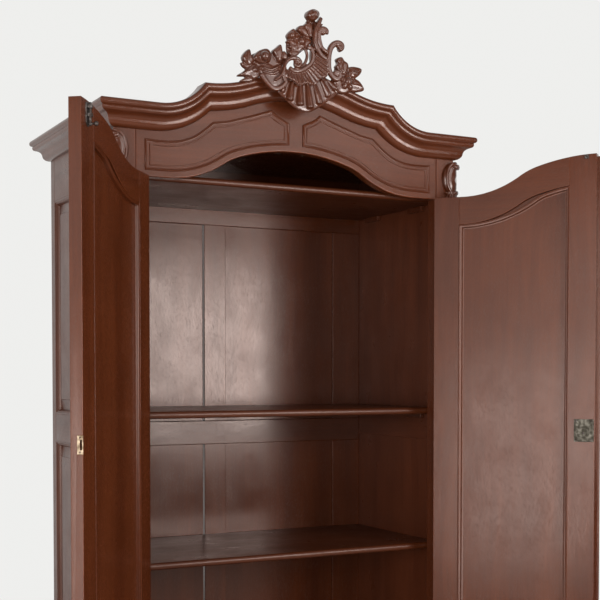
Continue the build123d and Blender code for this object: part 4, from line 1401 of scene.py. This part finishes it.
class ARMOIRE_OT_lock(Maker):
    """The lock: case, screws, bolt, strike plate, key, escutcheon, top catch and astragal"""
    bl_idname = "armoire.lock"
    bl_label = "Lock"
    bow = 0.011          # radius of the key's bow
    key_height = 1.094

    def build(self, scene):
        fitting("lock_case", "right_door", "steel", 0.0005)
        fitting("strike_plate", "left_door", "brass", 0.0004)
        fitting("lock_bolt", "lock_bolt", "steel", 0.0006)
        self.screws()
        self.catch()
        self.key()
        self.escutcheon()
        self.astragal(woods("door"))

    def screws(self):
        """Four screws and the ends of two pivots on the lock's cap, and two on the strike plate."""
        low, high = closed_box("lock_case")
        bm = new_mesh()
        inset = 0.0065
        for x in (low.x + inset, high.x - inset):
            for z in (low.z + inset, high.z - inset):
                screw(bm, Vector((x, high.y + 0.0001, z)), OUT_OF_DOOR, 0.0032,
                      turn=x * 50 + z * 20)
        key = closed_box("key")
        pivot = Vector(((key[0].x + key[1].x) / 2, high.y, self.key_height))
        lathe(bm, [(0.0036, -0.0005), (0.0036, 0.0006), (0.0026, 0.0012), (0.0006, 0.0014)], pivot,
              OUT_OF_DOOR, 16)
        lathe(bm, [(0.0018, -0.0005), (0.0018, 0.0004), (0.0008, 0.0007)],
              pivot + Vector((0.009, 0, 0.016)), OUT_OF_DOOR, 12)
        finish_piece("lock_screws", bm, "right_door", [], *metals("iron"), sharp=40)
        low, high = closed_box("strike_plate")
        bm = new_mesh()
        for z in (low.z + 0.0055, high.z - 0.0055):
            screw(bm, Vector((high.x - 0.0002, (low.y + high.y) / 2, z)), Vector((1, 0, 0)), 0.0026,
                  turn=z * 30)
        finish_piece("strike_screws", bm, "left_door", [], *metals("iron"), sharp=40)

    def catch(self):
        """The small spring catch at the top of the right door, with its roller."""
        low, high = closed_box("catch_keeper")
        centre = Vector((low.x - 0.0005, FRONT + DOOR_T, low.z - 0.0075))
        bm = new_mesh()
        outline = rect_outline(centre, Vector((-1, 0, 0)), UP, 0.013, 0.012, 0.0018)
        rows = []
        for out, draw in ((0.0, 0.0), (0.0034, 0.0), (0.0042, 0.06), (0.0045, 0.16)):
            rows.append([p.lerp(centre, draw) + Vector((0, out, 0)) for p in outline])
        closed_solid(bm, rows)
        roller = [(0.0008, -0.0046), (0.0022, -0.0044), (0.0026, -0.003), (0.0026, 0.003),
                  (0.0022, 0.0044), (0.0008, 0.0046)]
        lathe(bm, roller, centre + Vector((0, 0.0046, 0.0036)), Vector((1, 0, 0)), 16)
        for x in (-0.0042, 0.0042):
            screw(bm, centre + Vector((x, 0.0046, -0.0034)), OUT_OF_DOOR, 0.0014, turn=x * 200)
        finish_piece("door_catch", bm, "right_door", [], *metals("iron"), sharp=40)

    def key(self):
        """A key with a turned shank, a pierced oval bow and a notched bit."""
        low, high = closed_box("key")
        x, z = (low.x + high.x) / 2, self.key_height
        bm = new_mesh()
        start = low.y + 2 * self.bow + 0.0032
        length = high.y - start
        steps = [(2.0, 0), (3.6, 0.4), (4.6, 1.6), (4.6, 2.6), (3.6, 3.6), (3.0, 4.4), (3.9, 5.2),
                 (3.9, 6.0), (3.0, 6.8), (2.9, 20.0)]
        shank = [(r * MM, h * MM) for r, h in steps] + [(0.0029, length - 0.001), (0.0022, length)]
        lathe(bm, shank, Vector((x, start, z)), OUT_OF_DOOR, 20)
        rows = []
        for angle in round_angles(32):
            hub = Vector((x, start - self.bow + self.bow * sin(angle),
                          z + self.bow * 1.05 * cos(angle)))
            way = Vector((0, sin(angle), cos(angle)))
            thick = 0.0024 + 0.0007 * max(0.0, sin(angle)) ** 2
            rows.append([hub + (way * cos(b) + Vector((sin(b), 0, 0))) * thick
                         for b in round_angles(12)])
        add_grid(bm, rows, close_rows=True, close_columns=True)
        bit = ((20.8, 0), (20.8, -8.2), (22.6, -8.2), (22.6, -6.4), (23.6, -6.4), (23.6, -8.2),
               (27.6, -8.2), (27.6, 0))
        outline = [Vector((x, FRONT + y * MM, z + h * MM)) for y, h in bit]
        closed_solid(bm, [[p + Vector((w, 0, 0)) for p in outline] for w in (-0.0014, 0.0014)])
        finish_piece("key", bm, "key", ["key"], *metals("iron"), sharp=40)

    def escutcheon(self):
        """A dished keyhole plate with a beaded rim."""
        low, high = closed_box("escutcheon")
        centre = low.lerp(high, 0.5)
        radius = (high.x - low.x) / 2
        bm = new_mesh()
        rows = []
        for share, out in ((0.245, 0.0), (0.245, 2.2), (0.30, 2.7), (0.36, 2.2), (0.62, 1.3),
                           (0.80, 1.5), (0.84, 2.3), (0.91, 2.6), (0.98, 2.1), (1.0, 1.2),
                           (1.0, 0.0)):
            row = []
            for angle in round_angles(60):
                lobe = 1.0 + 0.022 * (cos(12 * angle) - 1) if share > 0.9 else 1.0
                reach = radius * share * lobe
                row.append(Vector((centre.x + reach * cos(angle), high.y - out * MM,
                                   centre.z + reach * sin(angle))))
            rows.append(row)
        add_grid(bm, rows, close_rows=True, close_columns=True)
        finish_piece("escutcheon", bm, "right_door", ["escutcheon"], *metals("brass"), sharp=35)

    def astragal(self, door):
        """The half-round cover strip on the right door's free edge."""
        low, high = closed_box("astragal")
        width = high.x - low.x
        middle = (low.x + high.x) / 2
        profile = [(-0.5, 0.0), (-0.5, 0.30), (-0.44, 0.42), (-0.36, 0.46), (-0.32, 0.62)]
        for i in range(1, 10):
            profile.append((-0.32 * cos(pi * i / 10), 0.62 + 0.38 * sin(pi * i / 10)))
        profile += [(0.32, 0.62), (0.36, 0.46), (0.44, 0.42), (0.5, 0.30), (0.5, 0.0)]
        back = FRONT - 0.0006
        deep = back - low.y
        tops = arch_line(0.005)
        rows = []
        for share in (0.0, 0.5, 1.0):
            row = []
            for across, out in profile:
                x = middle + across * width
                head = min(p.y for p in tops if abs(p.x - x) < 0.03)
                z = low.z + (min(head, high.z) - low.z) * share
                row.append(Vector((x, back - deep * out, z)))
            rows.append(row)
        bm = new_mesh()
        closed_solid(bm, rows)
        grain_by_place(bm, GRAIN_ORDER["Z"], shift_for("astragal"))
        finish_piece("astragal", bm, "right_door", ["astragal"], *door, sharp=40)


# ---- stage ---------------------------------------------------------------------------------------
# name, place, what it faces, width, height, watts
LIGHTS = (("window_right", (1.66, -3.5, 1.46), (0.2, 0.3, 1.46), 1.2, 1.25, 78),
          ("window_high", (1.7, -3.5, 2.98), (0.0, -0.1, 2.0), 2.4, 0.9, 20),
          ("window_left_high", (-3.0, -2.2, 1.95), (0.4, -0.3, 1.6), 1.8, 1.2, 11),
          ("window_left", (-3.0, -2.4, 0.68), (0.4, -0.3, 1.1), 1.15, 1.35, 32),
          ("key", (-2.3, -4.1, 1.6), (0.0, 0.0, 1.6), 2.4, 1.8, 96),
          ("overhead", (0.0, -2.2, 4.2), (0.0, 0.0, 1.9), 2.6, 1.6, 12))
FLOOR_RADIUS = 3.1


class ARMOIRE_OT_studio(Maker):
    """Floor, surroundings, soft lights and camera"""
    bl_idname = "armoire.studio"
    bl_label = "Studio"

    def build(self, scene):
        studio = scene.armoire_studio
        self.floor(studio)
        world = bpy.data.worlds.new("studio")
        scene.world = world
        world.use_nodes = True
        make = node_maker(world)
        toward = make("ShaderNodeTexCoord").outputs["Generated"]
        split = make("ShaderNodeSeparateXYZ", (0, toward)).outputs["Y"]
        fall = ranged(make, split, -0.5, 0.5, studio.dim_front, 1.0)
        walls = world.node_tree.nodes["Background"]
        walls.inputs[0].default_value = rgba(studio.sky)
        world.node_tree.links.new(fall, walls.inputs[1])
        for light in LIGHTS:
            self.light(*light)
        camera = bpy.data.cameras.new("camera")
        holder = bpy.data.objects.new("camera", camera)
        scene.collection.objects.link(holder)
        holder.location = studio.place
        holder.rotation_euler = (pi / 2 - studio.pitch, 0.0, -studio.yaw)
        camera.lens = studio.lens
        camera.sensor_width = 36.0
        camera.shift_y = studio.rise
        scene.camera = holder
        scene.view_settings.view_transform = "Standard"

    def floor(self, studio):
        material, make = empty_material("studio_floor")
        where = make("ShaderNodeTexCoord").outputs["Object"]
        cloud = make("ShaderNodeTexNoise", ("Vector", where), ("Scale", 1.5),
                     ("Detail", 4.0)).outputs["Fac"]
        tone = blended(make, cloud, rgba(studio.floor, 0.97), rgba(studio.floor, 1.03))
        shader = make("ShaderNodeBsdfPrincipled", ("Base Color", tone), ("Roughness", 0.75))
        make("ShaderNodeOutputMaterial", ("Surface", shader.outputs[0]))
        bm = bmesh.new()
        bmesh.ops.create_circle(bm, cap_ends=True, segments=96, radius=FLOOR_RADIUS)
        mesh = bpy.data.meshes.new("floor")
        bm.to_mesh(mesh)
        bm.free()
        mesh.materials.append(material)
        floor = bpy.data.objects.new("floor", mesh)
        bpy.context.scene.collection.objects.link(floor)

    def light(self, name, place, target, width, height, power):
        lamp = bpy.data.lights.new(name, "AREA")
        lamp.shape = "RECTANGLE"
        lamp.size = width
        lamp.size_y = height
        lamp.energy = power
        holder = bpy.data.objects.new(name, lamp)
        bpy.context.scene.collection.objects.link(holder)
        holder.location = place
        aim = Vector(target) - Vector(place)
        holder.rotation_euler = aim.to_track_quat("-Z", "Y").to_euler()


class ARMOIRE_PT_panel(bpy.types.Panel):
    """Everything that builds the armoire"""
    bl_idname = "ARMOIRE_PT_panel"
    bl_label = "Armoire"
    bl_space_type = "VIEW_3D"
    bl_region_type = "UI"
    bl_category = "Armoire"

    def draw(self, context):
        column = self.layout.column()
        for name, _ in SETTINGS:
            group = getattr(context.scene, name)
            for key in group.__annotations__:
                column.prop(group, key)
        for operator in OPERATORS:
            column.operator(operator.bl_idname)


SETTINGS = (("armoire_wood", ArmoireWood), ("armoire_metal", ArmoireMetal),
            ("armoire_shape", ArmoireShape), ("armoire_studio", ArmoireStudio))
OPERATORS = (ARMOIRE_OT_posts, ARMOIRE_OT_side_panels, ARMOIRE_OT_shelves, ARMOIRE_OT_cornice,
             ARMOIRE_OT_frieze, ARMOIRE_OT_crest, ARMOIRE_OT_corners, ARMOIRE_OT_feet,
             ARMOIRE_OT_doors, ARMOIRE_OT_hinges, ARMOIRE_OT_bolts, ARMOIRE_OT_lock,
             ARMOIRE_OT_studio)


def register():
    for name, group in SETTINGS:
        bpy.utils.register_class(group)
        setattr(bpy.types.Scene, name, PointerProperty(type=group))
    for operator in OPERATORS:
        bpy.utils.register_class(operator)
    bpy.utils.register_class(ARMOIRE_PT_panel)


def unregister():
    bpy.utils.unregister_class(ARMOIRE_PT_panel)
    for operator in reversed(OPERATORS):
        bpy.utils.unregister_class(operator)
    for name, group in reversed(SETTINGS):
        delattr(bpy.types.Scene, name)
        bpy.utils.unregister_class(group)


def main():
    register()
    for operator in OPERATORS:
        area, action = operator.bl_idname.split(".")
        getattr(getattr(bpy.ops, area), action)()


if __name__ == "__main__":
    main()
